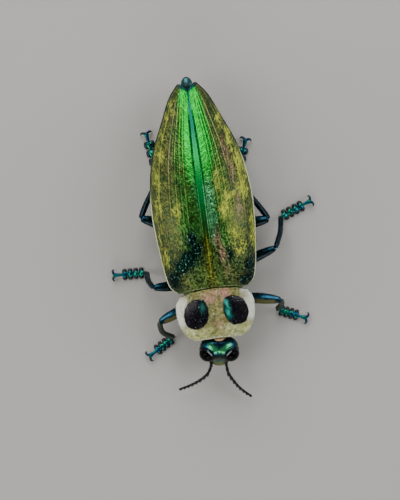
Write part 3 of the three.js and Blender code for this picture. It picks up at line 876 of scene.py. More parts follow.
SHIELD_BACK, SHIELD_FRONT = -0.65, -11.3
SHIELD = {
    "half_width": [(SHIELD_FRONT, 5.1), (-9.9, 6.75), (-7.6, 7.95), (-4.2, 8.45), (-2.2, 8.2),
                   (SHIELD_BACK, 7.35)],
    "top": [(SHIELD_FRONT, 11.7), (-9, 13.2), (-6, 14.3), (-3, 14.8), (SHIELD_BACK, 14.7)],
    "margin": [(SHIELD_FRONT, 7.6), (-5, 7.9), (SHIELD_BACK, 8.6)],
    "bottom": [(SHIELD_FRONT, 3.7), (-9, 3.1), (-5, 2.7), (SHIELD_BACK, 3)],
    "upper": [(-12, 2.3), (0, 2.3)],
    "lower": [(-12, 1.7), (0, 1.7)],
}
print("shield is", SHIELD_BACK - SHIELD_FRONT, "mm long")

# %% [markdown]
# The skin round the two spots is wrinkled and holds a pale wax. The spots are smooth, black-violet
# mirrors, a little domed. A furrow runs down the middle, and both edges have a fine rim.

# %% Shield: shape
SHIELD_ROWS, SHIELD_SIDES = 140, 440


def shield_spots(x, y):
    """The two round spots: ovals with a straighter inner side. 1 inside, 0 outside, with a soft edge."""
    fray = 0.1 * waves(np.stack([x, y, 0 * x], -1), 0.7, 61)
    across = np.abs(x) - 4.05
    width = np.where(across < 0, 2.45, 2.75)
    power = np.where(across < 0, 2.7, 2.1)
    lean = across + 0.12 * (y + 5.8)
    size = np.abs(lean / width) ** power + np.abs((y + 5.75) / 3.15) ** 2.1
    return smooth(size + fray, 1.1, 0.92)


corners = np.linspace(1.25, 0.35, SHIELD_ROWS)
rings = trunk_rings(SHIELD, np.linspace(SHIELD_BACK, SHIELD_FRONT, SHIELD_ROWS), corners, SHIELD_SIDES)
x = rings[..., 0]
above = smooth(rings[..., 2] - along(SHIELD["margin"], rings[..., 1]), 0.6, 2.2)
spot = shield_spots(x, rings[..., 1]) * above
from_edge = np.minimum(rings[:1, :, 1] - rings[..., 1], rings[..., 1] - rings[-1:, :, 1])
folds = rings + 0.25 * waves(rings, 0.7, 62)[..., None]
wrinkle = (0.6 * crests(folds, 0.42, 63) + 0.4 * crests(folds, 1.1, 61)) ** 1.4
rim = hump(from_edge, 0.14, 0.14)
height = (0.1 * wrinkle + 0.035 * waves(rings, 0.24, 64)) * (1 - spot) * smooth(from_edge, 0.1, 0.5)
height = height + 0.07 * rim - 0.1 * hump(from_edge, 0.45, 0.2)
height = height + 0.22 * spot * (1 - hump(spot, 0.5, 0.3)) - 0.12 * hump(spot, 0.35, 0.3)
height = height - 0.25 * hump(x, 0, 0.9) * above * smooth(from_edge, 0.3, 2.5)
height = height + 0.012 * waves(rings, 0.3, 65) * spot
rings, _ = lift(rings, height)
print("shield relief (mm):", height.min().round(2), "to", height.max().round(2))

# %% [markdown]
# At the front the skin turns inwards to a cup, in which the head sits. At the back a low dome closes it,
# out of sight under the wing cases.

# %% Shield: cup and back
CUP_ROWS, BACK_ROWS = 13, 5
cup = np.linspace(1, 0, CUP_ROWS + 1)[1:, None, None]
cup_middle = rings[-1].mean(0) * [1, 1, 0] + [0, 0, 7.6]
inward = cup_middle + (rings[-1] - cup_middle) * np.sqrt(1 - (1 - cup) ** 2 * 0.96)
inward = inward + [0, 2.1, 0] * (1 - cup) ** 1.2
dome = np.linspace(0.02, 1, BACK_ROWS + 1)[:-1, None, None]
dome_middle = rings[0].mean(0)
outward = dome_middle + (rings[0] - dome_middle) * dome**0.5 * 0.985 - [0, 0.12, 0] * (1 - dome)
whole = np.concatenate([outward, rings, inward])
print("shield rings:", len(whole))

# %% [markdown]
# A rosy tinge, yellow front corners and chalky sides come from masks again, and so does a teal gleam on the
# inner side of each spot, which is a painted reflection.


# %% Shield: masks
def padded(mask):
    """A mask for the rings with its edge rows repeated over the added rows at both ends."""
    return np.pad(mask, ((BACK_ROWS, CUP_ROWS), (0, 0)), mode="edge")


x, y = whole[..., 0], whole[..., 1]
PINK = [(-1.2, -2.6, 1.5, 1.1, 0.7), (2.3, -2.2, 0.9, 1.4), (-2.2, -3.2, 1.0, 0.7, 0.7),
        (0.3, -1.5, 1.3, 0.5, 0.7)]
pink_front = 0.45 * patches(whole, [(0.5, -8.3, 0.8, 1.2)], 0.4, 60)
# The teal streak on each spot, and a fainter one on the other spot, is a painted reflection.
painted_gleam = hump(x + 0.3 * waves(whole, 0.8, 67), 2.5 - 0.12 * (y + 5), 0.5)
painted_gleam = painted_gleam * smooth(y, -8.0, -6.8) * smooth(y, -2.9, -3.6)
over_margin = rings[..., 2] - along(SHIELD["margin"], rings[..., 1])
corner = smooth(y + 0.4 * waves(whole, 1.5, 69), -7.6, -9.6)
shield_marks = {
    "spot": padded(spot),
    "rim": padded(rim * smooth(rings[..., 1], -6, -9)),
    "chalk": smooth(np.abs(x) + 0.9 * waves(whole, 1.7, 68), 4.9, 7.4) * smooth(y, -9.6, -7.2),
    "corner": corner * (0.4 + 0.6 * smooth(np.abs(x), 1.0, 4.0)),
    "pink": np.maximum(patches(whole, PINK, 0.35, 66), pink_front),
    "painted_gleam": np.clip(painted_gleam + 0.3 * hump(x, -2.7, 0.6) * hump(y, -4.4, 1.1), 0, 1),
    "hollow": padded(1 - wrinkle),
    "under": padded(1 - smooth(over_margin, -0.9, 0.1)),
}
print("share of the shield that is spot:", spot.mean().round(3))

# %% [markdown]
# Nearly all of the shield is under wax, so most of the colour is the wax's own: cloudy olive and straw,
# with pale grains and dark specks, darkened with painted shade in the wrinkle hollows. Under the side margin
# the wax ends and green metal shows.

# %% Material: shield
shield_paint, tree = new_material("shield_wax")
violet = blend_colours(tree, noise(tree, 1 / 0.0006, 2.0), "#030205", "#120a14")
skin = layers(
    tree,
    blend_colours(tree, "under", "#55552a", "#1d5a3c"),
    # The pale specks in the spots are painted glints.
    ("spot", layers(tree, violet, (blotches(tree, 0.00024, 1.0, 0.68, 0.75), "#8a9ca6"))),
    # Painted reflection: teal on the inner side of each spot.
    ("painted_gleam", blend_colours(tree, blotches(tree, 0.0009, 2.0, 0.4, 0.65), "#067268", "#43b8a6"), "spot"),
)
wax = layers(
    tree,
    blend_colours(tree, blotches(tree, 0.003, 3.0, 0.36, 0.64), "#80825a", "#a69c5c"),
    (blotches(tree, 0.0005, 3.0, 0.44, 0.7), "#c6c994"),
    (blotches(tree, 0.00035, 2.0, 0.4, 0.32), "#55542e"),
    ("corner", blend_colours(tree, blotches(tree, 0.0012, 3.0, 0.35, 0.65), "#d4d88c", "#faffcc")),
    (blotches(tree, 0.0015, 2.0, 0.6, 0.68), "#66682e", 0.55),
    ("chalk", "#fbfdf2"),
    ("pink", "#e4a8a0"),
    ("rim", "#e9ecd6"),
)
# Painted shade: the wax in the wrinkle hollows is darkened, much less on the chalky sides.
depth = sums(tree, "MULTIPLY", "hollow", blend_numbers(tree, "chalk", 0.75, 0.1))
amount = 1.02
for place, loss in {"under": 0.75, "spot": 0.92, "hollow": 0.18}.items():
    amount = sums(tree, "SUBTRACT", amount, sums(tree, "MULTIPLY", place, loss))
wax = blend_colours(tree, depth, wax, "#8c8a60", "MULTIPLY")
metal = blend_numbers(tree, "spot", 0.5, 0.35)
coat = effect(
    tree, bloom, skin=skin, skin_metal=metal, skin_gloss=0.2, wax=wax, amount=amount, grain=0.00013
)
finish_with(shield_paint, coat, specular_ior_level=0.25)
add_piece("shield", [close_up(whole, shield_marks)], shield_paint, "prothorax")

# %% [markdown]
# ## The trunk under the wing cases
#
# Thorax and abdomen are one keel-shaped body, seen only from below and from the sides. It follows the wing
# cases at a small distance. The belly plates overlap like tiles, so the skin drops by a step behind each
# seam and swells again towards the next.

# %% Trunk: shape
DROP_UNDER_WING = (1.0, 1.0, 1.0, 1.0, 1.0, 1.6, 2.1)
TRUNK = {
    "half_width": [(t, width - 1.2) for t, width in WING["half_width"]],
    "top": [(t, top - drop) for (t, top), drop in zip(WING["top"], DROP_UNDER_WING)],
    "margin": WING["margin"],
    "bottom": [(-2, 3.0), (3, 2.5), (12, 2.4), (26, 3.1), (36, 4.2), (42.2, 5.3)],
    "upper": [(-2, 2.25), (43, 2.25)],
    "lower": [(-2, 1.65), (12, 1.65), (20, 1.9), (42.2, 2.1)],
}


def trunk_piece(name, node, span, seams, material):
    """A stretch of the trunk. Under the margin, the skin drops by 0.25 mm behind each seam and swells again
    as e to the minus distance / 1.6. The ends are rounded over 0.4 mm."""
    y = np.linspace(*span, 130)
    rings = trunk_rings(TRUNK, y, [0], 96)
    low = smooth(along(TRUNK["margin"], y)[:, None] - rings[..., 2], -0.5, 0.6)
    tile = np.zeros_like(y)
    for seam in seams:
        tile -= 0.25 * np.where(y > seam, np.exp(-(y - seam) / 1.6), 0) + 0.12 * hump(y, seam, 0.12)
    relief = tile[:, None] * low + 0.03 * crests(rings, (0.9, 0.45, 0.9), 71) * low
    relief = relief - 0.2 * hump(rings[..., 0], 0, 0.25) * low * smooth(y, 13, 9)[:, None]
    from_end = np.minimum(y - span[0], span[1] - y)[:, None]
    rings, _ = lift(rings, relief - 0.4 * (1 - round_quarter(from_end / 0.4)))
    seam_line = sum(hump(y, seam + 0.15, 0.3) for seam in seams)[:, None]
    marks = {"dust": low * smooth(waves(rings, (2.5, 1.2, 2.5), 72), -0.1, 0.5), "seam": seam_line * low}
    add_piece(name, [close_up(rings, marks)], material, node)


print("belly at its lowest (mm):", min(bottom for _, bottom in TRUNK["bottom"]))

# %% [markdown]
# The belly is green metal, clouded with olive, blue in the seams, and powdered in streaks.

# %% Trunk: material and pieces
belly_paint, tree = new_material("belly_metal")
skin = blend_colours(tree, noise(tree, 1 / 0.0025, 3.0), "#0f5a3c", "#6c6a2a")
skin = layers(tree, skin, ("seam", "#165060"))
amount = blend_numbers(tree, "dust", 0.22, 0.72)
coat = effect(
    tree, bloom, skin=skin, skin_metal=0.85, skin_gloss=0.3, wax="#a7a052", amount=amount, grain=0.00018
)
finish_with(belly_paint, coat)
trunk_piece("breast", "thorax", (-2, 12.1), [3.2, 6.2], belly_paint)
trunk_piece("belly", "abdomen", (12.3, 42.2), [18.6, 24.6, 30.2, 35.4], belly_paint)

# %% [markdown]
# The last belly plate looks out behind the wing cases. It and the scutellum are eggs, and so are the
# skull, the eyes and the hips later.


# %% Eggs: belly tip and scutellum
def egg(centre, radii, rows=30, sides=40, squareness=1.0):
    """Rings of an egg with its two poles on the y axis: y = ry sin(t)^k, with rings whose radii are
    rx and rz times cos(t)^k. With k under 1 it grows boxy."""
    t = np.linspace(-np.pi / 2, np.pi / 2, rows + 2)[1:-1, None]
    a = turn_round(sides)[None, :]
    ring, height = signed_power(np.cos(t), squareness), signed_power(np.sin(t), squareness)
    x, z = signed_power(np.cos(a), squareness), signed_power(np.sin(a), squareness)
    return np.stack([ring * x, height + 0 * a, ring * z], -1) * radii + centre


tail = egg((0, 43.2, 6.0), (1.35, 2.1, 0.95))
add_piece("belly_tip", [close_up(tail, {"dust": 0.0, "seam": 0.8})], belly_paint, "abdomen_tip")
scutellum = close_up(egg(SCUTELLUM_CENTRE, (0.6, 0.55, 0.35), 16, 24), {"dust": 0.0, "seam": 0.9})
add_piece("scutellum_shield", [scutellum], belly_paint, "scutellum")

# %% [markdown]
# ## The head
#
# Seen from above the head is a rounded box let into the shield. It has a furrow down its middle, a broad
# hollow between the eyes and a low rim round each eye. It is drawn looking straight ahead and turned
# at the end, together with all that is on it. We use an egg with its poles front and back, so that the
# rings run round the head like the cuts through a loaf.

# %% Head: shape
HEAD_TURN = math.radians(-6.5)
NECK_JOINT = np.array([0, -11.4, 0])
EYE_RADII = np.array([1.9, 1.75, 2.6])
EYE_CENTRE = np.array([2.42, -14.9, 8.1])


def turned(points):
    """Turn the head about the neck, seen from above."""
    c, s = math.cos(HEAD_TURN), math.sin(HEAD_TURN)
    return (points - NECK_JOINT) @ np.array([[c, s, 0], [-s, c, 0], [0, 0, 1]]) + NECK_JOINT


def eye_distance(points):
    """How far a point is from the nearer eye's centre, in that eye's own radii: 1 is on its surface."""
    on_left = np.stack([np.abs(points[..., 0]), points[..., 1], points[..., 2]], -1)
    return np.linalg.norm((on_left - EYE_CENTRE) / EYE_RADII, axis=-1)


skull = egg((0, -14.0, 7.4), (4.2, 2.85, 3.75), 110, 150, squareness=0.8)
skull[..., 1] -= 0.14 * (7.4 - skull[..., 2])
x, y, z = skull[..., 0], skull[..., 1], skull[..., 2]
away = eye_distance(skull)
crown = smooth(z, 7.0, 9.5)
face = smooth(y, -14.6, -15.8) * smooth(z, 3.8, 5.0)
between_eyes = hump(x, 0, 1.6) * smooth(y + 0.5 * np.abs(x), -13.4, -15.4) * smooth(z, 6, 8)
height = -0.2 * hump(x, 0, 0.25) * smooth(z, 6.0, 8.0) - 0.4 * between_eyes
height = height - 0.5 * hump(x, 0, 1.0) * smooth(y, -12.4, -11.6) * crown
height = height + 0.12 * hump(away, 1.12, 0.08) - 0.06 * hump(away, 1.27, 0.06)
height = height + 0.05 * crests(skull, (0.5, 0.7, 0.5), 81) * smooth(away, 1.1, 1.4) * (0.35 + 0.65 * face)
skull, _ = lift(skull, height)
lip = egg((0, -16.6, 4.85), (1.8, 1.2, 0.55), 30, 48, squareness=0.8)
lip[..., 1] += 0.05 * lip[..., 0] ** 2
print("skull relief (mm):", height.min().round(2), "to", height.max().round(2))

# %% [markdown]
# The crown is dark blue-green metal with a V-shaped band of painted highlight in bright green across it and
# painted shade in navy behind it, the face is dusty with painted shade on the brow, and painted shade with a
# painted highlight on its inner rim surrounds each eye. Each of these is a mask: a hump of the distance from
# the highlight line or from the eye, kept to the crown or to the face by smooth steps.

# %% Head: masks
highlight_line = np.abs(x) * 0.6 - 14.4
# The sheen is a painted highlight along the highlight line.
sheen = hump(y, highlight_line, 0.6) * smooth(np.abs(x), 2.9, 1.2) * crown * (1 - 0.85 * hump(x, 0, 0.35))
head_marks = {
    # Painted highlight on the crown, plus a little real green on the face.
    "highlight_and_green": np.clip(sheen + 0.2 * face * smooth(z, 4.8, 7.0) * smooth(z, 8.4, 7.0), 0, 1),
    "dust": np.clip(face * smooth(z, 7.2, 5.6) + 0.6 * smooth(z, 5.0, 3.8), 0, 1),
    # Painted shade: a near-black ring on the skull round each eye.
    "socket": smooth(away, 1.3, 1.14) * smooth(z, 6.5, 8.5) + hump(away, 1.08, 0.09),
    # Painted highlight: a pale arc on the inner upper rim of each eye.
    "eye_rim_highlight": hump(away, 1.02, 0.06) * smooth(np.abs(np.abs(x) - 2.1), 0.6, 0.25) * crown,
    # Painted shade on the brow.
    "brow_shade": smooth(y, -14.9, -15.6) * smooth(z, 6.8, 8.2),
    # Painted shade behind the highlight.
    "crown_back_shade": smooth(y - highlight_line, 0.3, 1.0) * crown,
}
lip_marks = {**dict.fromkeys(head_marks, 0.0), "dust": 0.95}
print("head masks:", ", ".join(head_marks))

# %% [markdown]
# Both effects are used at once here: pits in the metal first, and powder over them. Their two normals are
# added and brought back to unit length.

# %% Material: head
head_paint, tree = new_material("head_metal")
skin = layers(
    tree,
    blend_colours(tree, blotches(tree, 0.0025, 2.0, 0.4, 0.6), "#0f3c58", "#0b3a2a"),
    # Painted shade in navy on the back of the crown.
    ("crown_back_shade", "#0a2440"),
    # Painted highlight in bright green, with speckles.
    ("highlight_and_green", "#5ee8a0"),
    (noise(tree, 1 / 0.0012, 3.0), "#3a9a38", "highlight_and_green"),
    # Painted shade on the brow.
    ("brow_shade", "#051c0d", 0.85),
    # Painted shade round the eyes.
    ("socket", "#0a1018"),
    # Painted highlight on the eye rims.
    ("eye_rim_highlight", "#ccd8dc"),
)
texture = effect(tree, pitted, color=skin, gloss=0.16, pit_size=0.00028, depth=0.4)
amount = blend_numbers(tree, "dust", 0.12, 0.85)
coat = effect(
    tree, bloom, skin=texture["Color"], skin_metal=0.9, skin_gloss=texture["Roughness"], wax="#76784a",
    amount=amount, grain=0.00014,
)
normals = {0: texture["Normal"], 1: coat["Normal"]}
both = wire(tree, "ShaderNodeVectorMath", normals, operation="ADD").outputs[0]
normal = wire(tree, "ShaderNodeVectorMath", {0: both}, operation="NORMALIZE").outputs[0]
finish_with(head_paint, coat, normal=normal)
head = [close_up(turned(skull), head_marks), close_up(turned(lip), lip_marks)]
add_piece("head_shell", head, head_paint, "head")

# %% [markdown]
# The eyes are black domes of many tiny lenses. The lenses are far too small to see one by one, so the
# material gives them as a fine net of dimples in a smooth surface that keeps the bright reflection.

# %% Eyes
eye_paint, tree = new_material("eye_black")
texture = effect(tree, pitted, color="#020203", gloss=0.02, pit_size=0.00009, depth=0.04)
finish_with(eye_paint, texture, specular_ior_level=0.05)
for hand, side in HANDS.items():
    dome = turned(egg(EYE_CENTRE * [side, 1, 1], EYE_RADII, 60, 72))
    add_piece(f"eye_dome_{hand}", [close_up(dome)], eye_paint, f"eye_{hand}")

# %% [markdown]
# The skin of the neck is soft and tan, folded where the head draws back into the shield. It bulges up in
# the notch at the back of the head. A tube does, whose radius goes up and down along it as a sine.

# %% Neck
NECK_RADIUS, NECK_HEIGHT = 2.6, 7.6
angle = turn_round(80)[None, :]
y = np.linspace(-10.2, -12.6, 60)[:, None] + 0 * angle
tube = np.stack([y, 2 * np.cos(angle) + 0 * y, 2 * np.sin(angle) + 0 * y], -1)
folds = NECK_RADIUS + 0.09 * np.sin(y * 9) + 0.05 * waves(tube, 0.8, 85)
bulge = 1.15 * hump(np.sin(angle), 1, 0.07) * hump(y, -11.7, 0.45)
neck_rings = np.stack([folds * np.cos(angle), y, NECK_HEIGHT + (folds + bulge) * np.sin(angle)], -1)
neck_paint, tree = new_material("neck_skin")
tan = blend_colours(tree, noise(tree, 1 / 0.0009, 3.0), "#9c7448", "#dcc096")
finish_with(neck_paint, effect(tree, pitted, color=tan, gloss=0.4, pit_size=0.0002, depth=0.3))
add_piece("neck_fold", [close_up(neck_rings)], neck_paint, "neck")

# %% [markdown]
# ## Horn: jaws, feelers and claws
#
# Jaws, feelers and claws are black horn, and a mask turns the feet's last joints, which bear the claws, to
# blued metal. The jaws are short curved cones that reach towards each other under the lip.

# %% Horn and jaws
horn_paint, tree = new_material("horn")
blued = blend_colours(tree, blotches(tree, 0.0012, 2.0, 0.35, 0.65), "#123a70", "#0d6a5c")
black_or_blue = blend_colours(tree, "steel", "#0d0b0c", blued)
texture = effect(tree, pitted, color=black_or_blue, gloss=0.24, pit_size=0.00015, depth=0.35)
metal = sums(tree, "MULTIPLY", "steel", 0.9)
finish_with(horn_paint, texture, metallic=metal, specular_ior_level=0.2)

for hand, side in HANDS.items():
    shares = np.linspace(0, 1, 40)
    joints = [(side * 1.3, -14.9, 4.5), (side * 1.35, -16.2, 3.7), (side * 0.55, -16.6, 2.7)]
    width = (0.65 - 0.4 * shares) * tip_rounding(shares, 3.0, 0.3, 0.35)
    jaw = turned(carry(path_through(joints, shares), width, 0.8 * width, 24))
    add_piece(f"jaw_{hand}", [close_up(jaw, {"steel": 0.0})], horn_paint, f"mandible_{hand}")

# %% [markdown]
# A feeler has eleven joints. The first is long and stout, the second short, and from the fourth on each
# carries a flat tooth on its front side, like a saw. One swept section does it all, since the tooth is no
# more than a wider front half of the section.

# %% Feelers
FEELERS = {
    "left": [(0.95, -15.9, 5.2), (0.85, -17.9, 5.7), (1.15, -19.8, 5.3), (3.15, -23.2, 3.6),
             (5.55, -25.6, 2.0)],
    "right": [(-2.2, -15.7, 5.2), (-2.5, -17.5, 5.7), (-3.65, -19.3, 5.2), (-6.5, -20.95, 3.6),
              (-10.15, -22.1, 1.9)],
}
JOINT_LENGTHS = [1.5, 0.6, 1.15, 1.1, 1.1, 1.1, 1.05, 1.05, 1.0, 0.95, 1.05]
FIRST_TOOTHED = 3
FEELER_SIDES = 20


def feeler(joints, front):
    """The half-width is a core, pinched at the root and end of each joint, plus, on the front side, a tooth
    that grows as the share u of the joint to the power 1.3 and falls back over its last bit."""
    ends = np.cumsum([0, *JOINT_LENGTHS])
    ends /= ends[-1]
    shares = np.linspace(0, 1, 331)
    number = np.clip(np.searchsorted(ends, shares, side="right") - 1, 0, len(JOINT_LENGTHS) - 1)
    within = (shares - ends[number]) / (ends[number + 1] - ends[number])
    core = np.where(number == 0, 0.44, np.where(number == 1, 0.34, 0.33 - 0.008 * number))
    core = core * (0.7 + 0.3 * smooth(within, 0, 0.25) * smooth(within, 1.0, 0.88))
    tooth = np.where(number >= FIRST_TOOTHED, 0.31, 0.05) * within**1.3 * smooth(within, 1.0, 0.86)
    tooth = tooth * np.where(number == len(JOINT_LENGTHS) - 1, 0.65, 1)
    rounding = tip_rounding(shares, 12.5, 0.3, 0.35)
    facing_front = np.clip(front * np.cos(turn_round(FEELER_SIDES)), 0, 1)
    width = (core[:, None] + tooth[:, None] * facing_front**0.5) * rounding[:, None]
    rings = carry(path_through(joints, shares), width, core * 0.9 * rounding, FEELER_SIDES)
    return close_up(rings, {"steel": 0.0})


for hand, joints in FEELERS.items():
    add_piece(f"feeler_{hand}", [feeler(joints, HANDS[hand])], horn_paint, f"antenna_{hand}")

# %% [markdown]
# ## Legs
#
# All six legs are alike: hip, thigh, shin, a foot of four joints with a pair of soft dark pads under each,
# and a long last joint that bears two claws. Each row below gives the hip, the middle of the thigh, the
# knee, the middle of the shin, the ankle and, on the ground, the tips of the claws.

# %% Leg places
LEGS = {
    "front_left": [(3.0, -3.4, 3.3), (9.0, -4.15, 5.4), (14.3, -5.2, 7.2), (14.45, -6.3, 4.3),
                   (13.55, -7.4, 1.3), (20.2, -10.4)],
    "front_right": [(-3.0, -3.4, 3.3), (-8.4, -5.2, 5.1), (-12.4, -6.7, 6.6), (-12.0, -9.0, 4.0),
                    (-9.85, -10.6, 1.3), (-16.2, -14.4)],
    "middle_left": [(3.1, 1.8, 3.2), (10.5, 4.8, 5.2), (14.6, 6.1, 6.5), (16.1, 9.3, 4.0),
                    (16.8, 12.6, 1.3), (24.4, 15.6)],
    "middle_right": [(-3.1, 1.5, 3.2), (-9.0, 0.8, 5.9), (-12.7, 0.9, 7.4), (-13.75, 2.6, 4.6),
                     (-14.0, 4.25, 1.3), (-21.8, 4.6)],
    "hind_left": [(3.2, 11.7, 3.1), (9.5, 12.1, 5.6), (13.9, 12.5, 7.2), (11.9, 16.0, 5.2),
                  (7.9, 22.0, 1.3), (11.6, 31.2)],
    "hind_right": [(-3.2, 11.7, 3.1), (-9.4, 14.4, 5.6), (-13.5, 16.1, 7.2), (-11.8, 19.4, 5.2),
                   (-8.6, 24.8, 1.3), (-10.3, 35.3)],
}
STOUT = {"front": 1.2, "middle": 1.14, "hind": 1.28}
print("legs:", ", ".join(LEGS))

# %% [markdown]
# The legs are bare blue metal, with a painted highlight where the thigh turns up and back and a lighter tone
# on the shins, and powder clings to the front face of the thighs. The feet are greener, with dark pads.

# %% Materials: legs and feet
leg_paint, tree = new_material("leg_metal")
skin = blend_colours(tree, blotches(tree, 0.0018, 2.0, 0.35, 0.65), "#040e1e", "#08242e")
# Painted highlight where the thigh looks up and back, and a lighter blue tone on the shins.
skin = layers(tree, skin, ("highlight_and_tone", "#1f485c"))
texture = effect(tree, pitted, color=skin, gloss=0.18, pit_size=0.00022, depth=0.35)
amount = blend_numbers(tree, "dust", 0.12, 0.9)
coat = effect(
    tree, bloom, skin=texture["Color"], skin_metal=0.92, skin_gloss=texture["Roughness"], wax="#57552a",
    amount=amount, grain=0.00014,
)
finish_with(leg_paint, coat, normal=texture["Normal"])

foot_paint, tree = new_material("foot_metal")
skin = layers(
    tree,
    blend_colours(tree, blotches(tree, 0.0012, 2.0, 0.35, 0.65), "#0a4a68", "#0e8664"),
    (blotches(tree, 0.0007, 2.0, 0.5, 0.66), "#06282e"),
    ("pad", "#0a161d"),
)
texture = effect(tree, pitted, color=skin, gloss=0.2, pit_size=0.00018, depth=0.4)
metal = sums(tree, "SUBTRACT", 0.92, sums(tree, "MULTIPLY", "pad", 0.6))
rough = sums(tree, "ADD", texture["Roughness"], sums(tree, "MULTIPLY", "pad", 0.15))
finish_with(foot_paint, texture, metallic=metal, roughness=rough)

# %% [markdown]
# The thigh is a flattened spindle: a section carried along the path from hip to knee. Its masks follow the
# way the skin faces, because powder is brushed off everywhere but in front.

# %% Thigh
THIGH = [(0, 0.6), (0.3, 0.95), (0.6, 1.0), (0.85, 0.82), (1, 0.5)]


def thigh(hip, middle, knee, dusty, stout):
    """A section with the half-widths of THIGH, times a factor that grows to stout towards the knee. Powder
    lies where the skin looks to the front, and a painted highlight where it looks up and back."""
    shares = np.linspace(0, 1, 70)
    path = path_through([hip, middle, knee], shares)
    width = limb_width(THIGH, shares, path_length(path), 0.5, 0.45)
    width = width * (1 + (stout - 1) * smooth(shares, 0.1, 0.7))
    width = width[:, None] * (1 + 0.06 * hump(np.cos(turn_round(40)), 0, 0.35))
    rings = carry(path, width, 0.85 * width, 40)
    rings, normal = lift(rings, 0.02 * waves(rings, 0.7, 91))
    front = smooth(-normal[..., 1] + 0.12 * waves(rings, 0.8, 92), -0.05, 0.3)
    knee_free = smooth(shares, 0.97, 0.86)[:, None]
    # Painted highlight: lighter where the skin looks up and back.
    back = smooth(normal[..., 1], -0.25, 0.15) * smooth(normal[..., 2], 0.1, 0.6)
    return close_up(rings, {"dust": dusty * front * knee_free, "highlight_and_tone": (0.4 + 0.6 * dusty) * back})


print("thigh at its thickest (mm):", 2 * max(width for _, width in THIGH))

# %% [markdown]
# The shin is a thin, slightly bent rod with a row of fine teeth on its outer edge and two short spurs at
# its end. The teeth are part of the section, as on the feelers.

# %% Shin
SHIN = [(0, 0.36), (0.15, 0.46), (0.6, 0.42), (1, 0.44)]
TOOTH_PITCH = 0.42


def shin(knee, middle, ankle, dusty, stout):
    """A rod with the half-widths of SHIN times stout and four faint ridges, |sin|^6 teeth on its outer edge,
    and two spurs at its end."""
    shares = np.linspace(0, 1, 120)
    path = path_through([knee, middle, ankle], shares)
    length = path_length(path)
    angle = turn_round(28)
    ridged = (limb_width(SHIN, shares, length, 0.3, 0.3) * stout)[:, None] * (1 + 0.1 * np.cos(4 * angle))
    teeth = 0.16 * np.abs(np.sin(shares * length * np.pi / TOOTH_PITCH)) ** 6
    teeth = teeth * smooth(shares, 0.25, 0.5) * smooth(shares, 1, 0.95)
    rings = carry(path, ridged + teeth[:, None] * np.clip(np.cos(angle), 0, 1) ** 12, ridged, 28)
    bodies = [close_up(rings, {"dust": 0.1 + 0.35 * dusty, "highlight_and_tone": 0.2})]
    forward = path[-1] - path[-12]
    forward /= np.linalg.norm(forward)
    for lean in (-1, 1):
        side = np.cross(forward, (0, 0, 1)) * lean
        start = path[-4] + 0.25 * side
        joints = [start, start + 0.35 * forward + 0.2 * side, start + 0.75 * forward + 0.25 * side]
        taper = 0.11 * np.linspace(1, 0.08, 12)
        spur = carry(path_through(joints, np.linspace(0, 1, 12)), taper, taper, 10)
        bodies.append(close_up(spur, {"dust": 0.0, "highlight_and_tone": 0.0}))
    return bodies


print("teeth on 10 mm of shin:", round(10 / TOOTH_PITCH))

# %% [markdown]
# Each foot joint is a heart-shaped plate of blue-green metal over two dark pads that spread to the sides
# and rest on the ground. It is easiest to place all this in the foot's own directions: so far ahead, so
# far to the left, so high.

# %% Foot
HOOK_REACH = 1.05
HEEL = 0.35
PLATE = [(0, 0.26), (0.35, 0.46), (0.75, 0.72), (1, 0.55)]
PLATE_HEIGHT = [(0, 0.26), (0.6, 0.3), (1, 0.2)]


def foot_frame(ankle, toe):
    """A function that gives the point so far ahead of the ankle, so far to its left, at height z, and the
    foot's length."""
    forward = np.subtract(toe, ankle[:2])
    length = np.linalg.norm(forward)
    forward = np.append(forward / length, 0)
    axes = np.array([forward, (-forward[1], forward[0], 0), (0, 0, 1)])
    ground = np.array([ankle[0], ankle[1], 0.0])

    def spot(ahead, across, z):
        return ground + np.stack(np.broadcast_arrays(ahead, across, z), -1) @ axes

    return spot, length


def foot_bodies(ankle, toe):
    """Four joints, each a plate and two pads, spaced evenly between the ankle and the last joint, and a
    small ball in the ankle."""
    spot, length = foot_frame(ankle, toe)
    pitch = (length - HOOK_REACH - 1.5 - HEEL) / 4
    bodies = [close_up(egg((ankle[0], ankle[1], 1.12), (0.34, 0.34, 0.4), 16, 24), {"pad": 0.0})]
    for i in range(4):
        heel = HEEL + i * pitch
        for side in (-1, 1):
            x, y, z = np.moveaxis(egg((0, 0, 0), (1, 1, 1), 18, 24, squareness=0.9), -1, 0)
            across = side * (0.66 + 0.1 * y) + 0.6 * x
            ahead = heel + pitch * (0.66 + 0.43 * y) - 0.12 * x * side
            raised = 0.31 + 0.31 * z + 0.08 * (1 - x * side) * np.maximum(z, 0)
            bodies.append(close_up(spot(ahead, across, raised), {"pad": 1.0}))
        shares = np.linspace(0, 1, 26)
        arched = 0.72 + 0.14 * np.sin(np.pi * shares) + 0.22 * (i == 0) * (1 - shares)
        path = spot(heel + pitch * (1.12 * shares - 0.1), 0, arched)
        width, high = (limb_width(line, shares, pitch * 1.12, 0.2, 0.22) for line in (PLATE, PLATE_HEIGHT))
        bodies.append(close_up(carry(path, width, high, 28), {"pad": 0.0}))
    return bodies


print("longest foot (mm):", round(max(math.dist(leg[4][:2], leg[5]) for leg in LEGS.values()), 1))

# %% [markdown]
# The last joint is a slim club, and the claws are hooks that spread and bend down to the ground. A hook
# is a curve from a start to an end that is drawn towards a third place, and it thins to a point.

# %% Claws
LAST_JOINT = [(0, 0.28), (0.5, 0.34), (0.85, 0.48), (1, 0.44)]


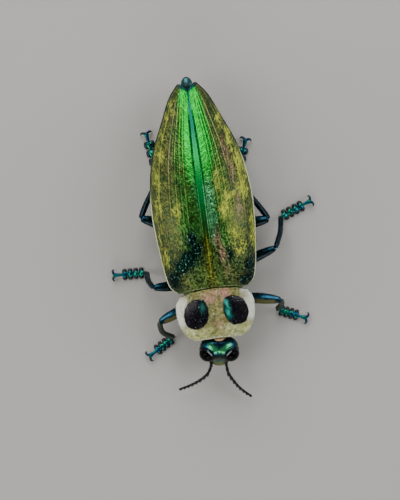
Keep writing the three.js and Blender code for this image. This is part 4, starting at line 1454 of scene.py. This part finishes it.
def claw_bodies(ankle, toe):
    """The last joint, thicker towards its end, and two hooks. A hook runs as start (1 - t)^2 + bend 2t(1 - t)
    + end t^2 and tapers to a point: radius 0.31 (1 - t)^0.45."""
    spot, length = foot_frame(ankle, toe)
    root = length - HOOK_REACH
    shares = np.linspace(0, 1, 30)
    joint = spot(root - 2.3 + 2.75 * shares, 0, 0.75 + 0.3 * np.sin(shares * 2.0))
    width = limb_width(LAST_JOINT, shares, 2.75, 0.25, 0.2)
    bodies = [close_up(carry(joint, width, width * 0.95, 24), {"steel": 1.0})]
    t = np.linspace(0, 1, 34)
    radius = 0.31 * (1 - t) ** 0.45 * tip_rounding(t, 2.0, 0.12, 0.05) + 0.012
    for side in (-1, 1):
        start, bend = spot(root + 0.25, 0.1 * side, 0.95), spot(root + 1.05, side * 1.05, 1.4)
        end = spot(root + 0.3, side * 1.3, 0.1)
        hook = start * ((1 - t) ** 2)[:, None] + bend * (2 * t * (1 - t))[:, None] + end * (t**2)[:, None]
        bodies.append(close_up(carry(hook, radius, radius, 14), {"steel": 0.35}))
    return bodies


print("last joint at its thickest (mm):", 2 * max(width for _, width in LAST_JOINT))

# %% [markdown]
# One loop builds the six legs. Only the front thighs are thick with powder.

# %% Six legs
for name, (hip, middle, knee, bend, ankle, toe) in LEGS.items():
    pair = name.split("_")[0]
    dusty = 1.0 if pair == "front" else 0.2
    hip_dome = close_up(egg(hip, (1.45, 1.2, 1.1), 24, 32), {"dust": 0.3, "highlight_and_tone": 0.0})
    spindle = thigh(hip, middle, knee, dusty, STOUT[pair])
    add_piece(f"{name}_hip", [hip_dome], leg_paint, f"{name}_coxa")
    add_piece(f"{name}_thigh", [spindle], leg_paint, f"{name}_femur")
    add_piece(f"{name}_shin", shin(knee, bend, ankle, dusty, STOUT[pair]), leg_paint, f"{name}_tibia")
    add_piece(f"{name}_foot", foot_bodies(ankle, toe), foot_paint, f"{name}_tarsus")
    add_piece(f"{name}_hooks", claw_bodies(ankle, toe), horn_paint, f"{name}_claws")

# %% [markdown]
# ## Finish
#
# The last cell works out the box before and after and prints both.

# %% Sizes and the end
boxes = {"cad": cad_box, "visual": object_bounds()}
sizes = {name: [list(map(float, corner)) for corner in box] for name, box in boxes.items()}
print("boxes in mm:", {name: np.multiply(box, 1000).round(2).tolist() for name, box in sizes.items()})
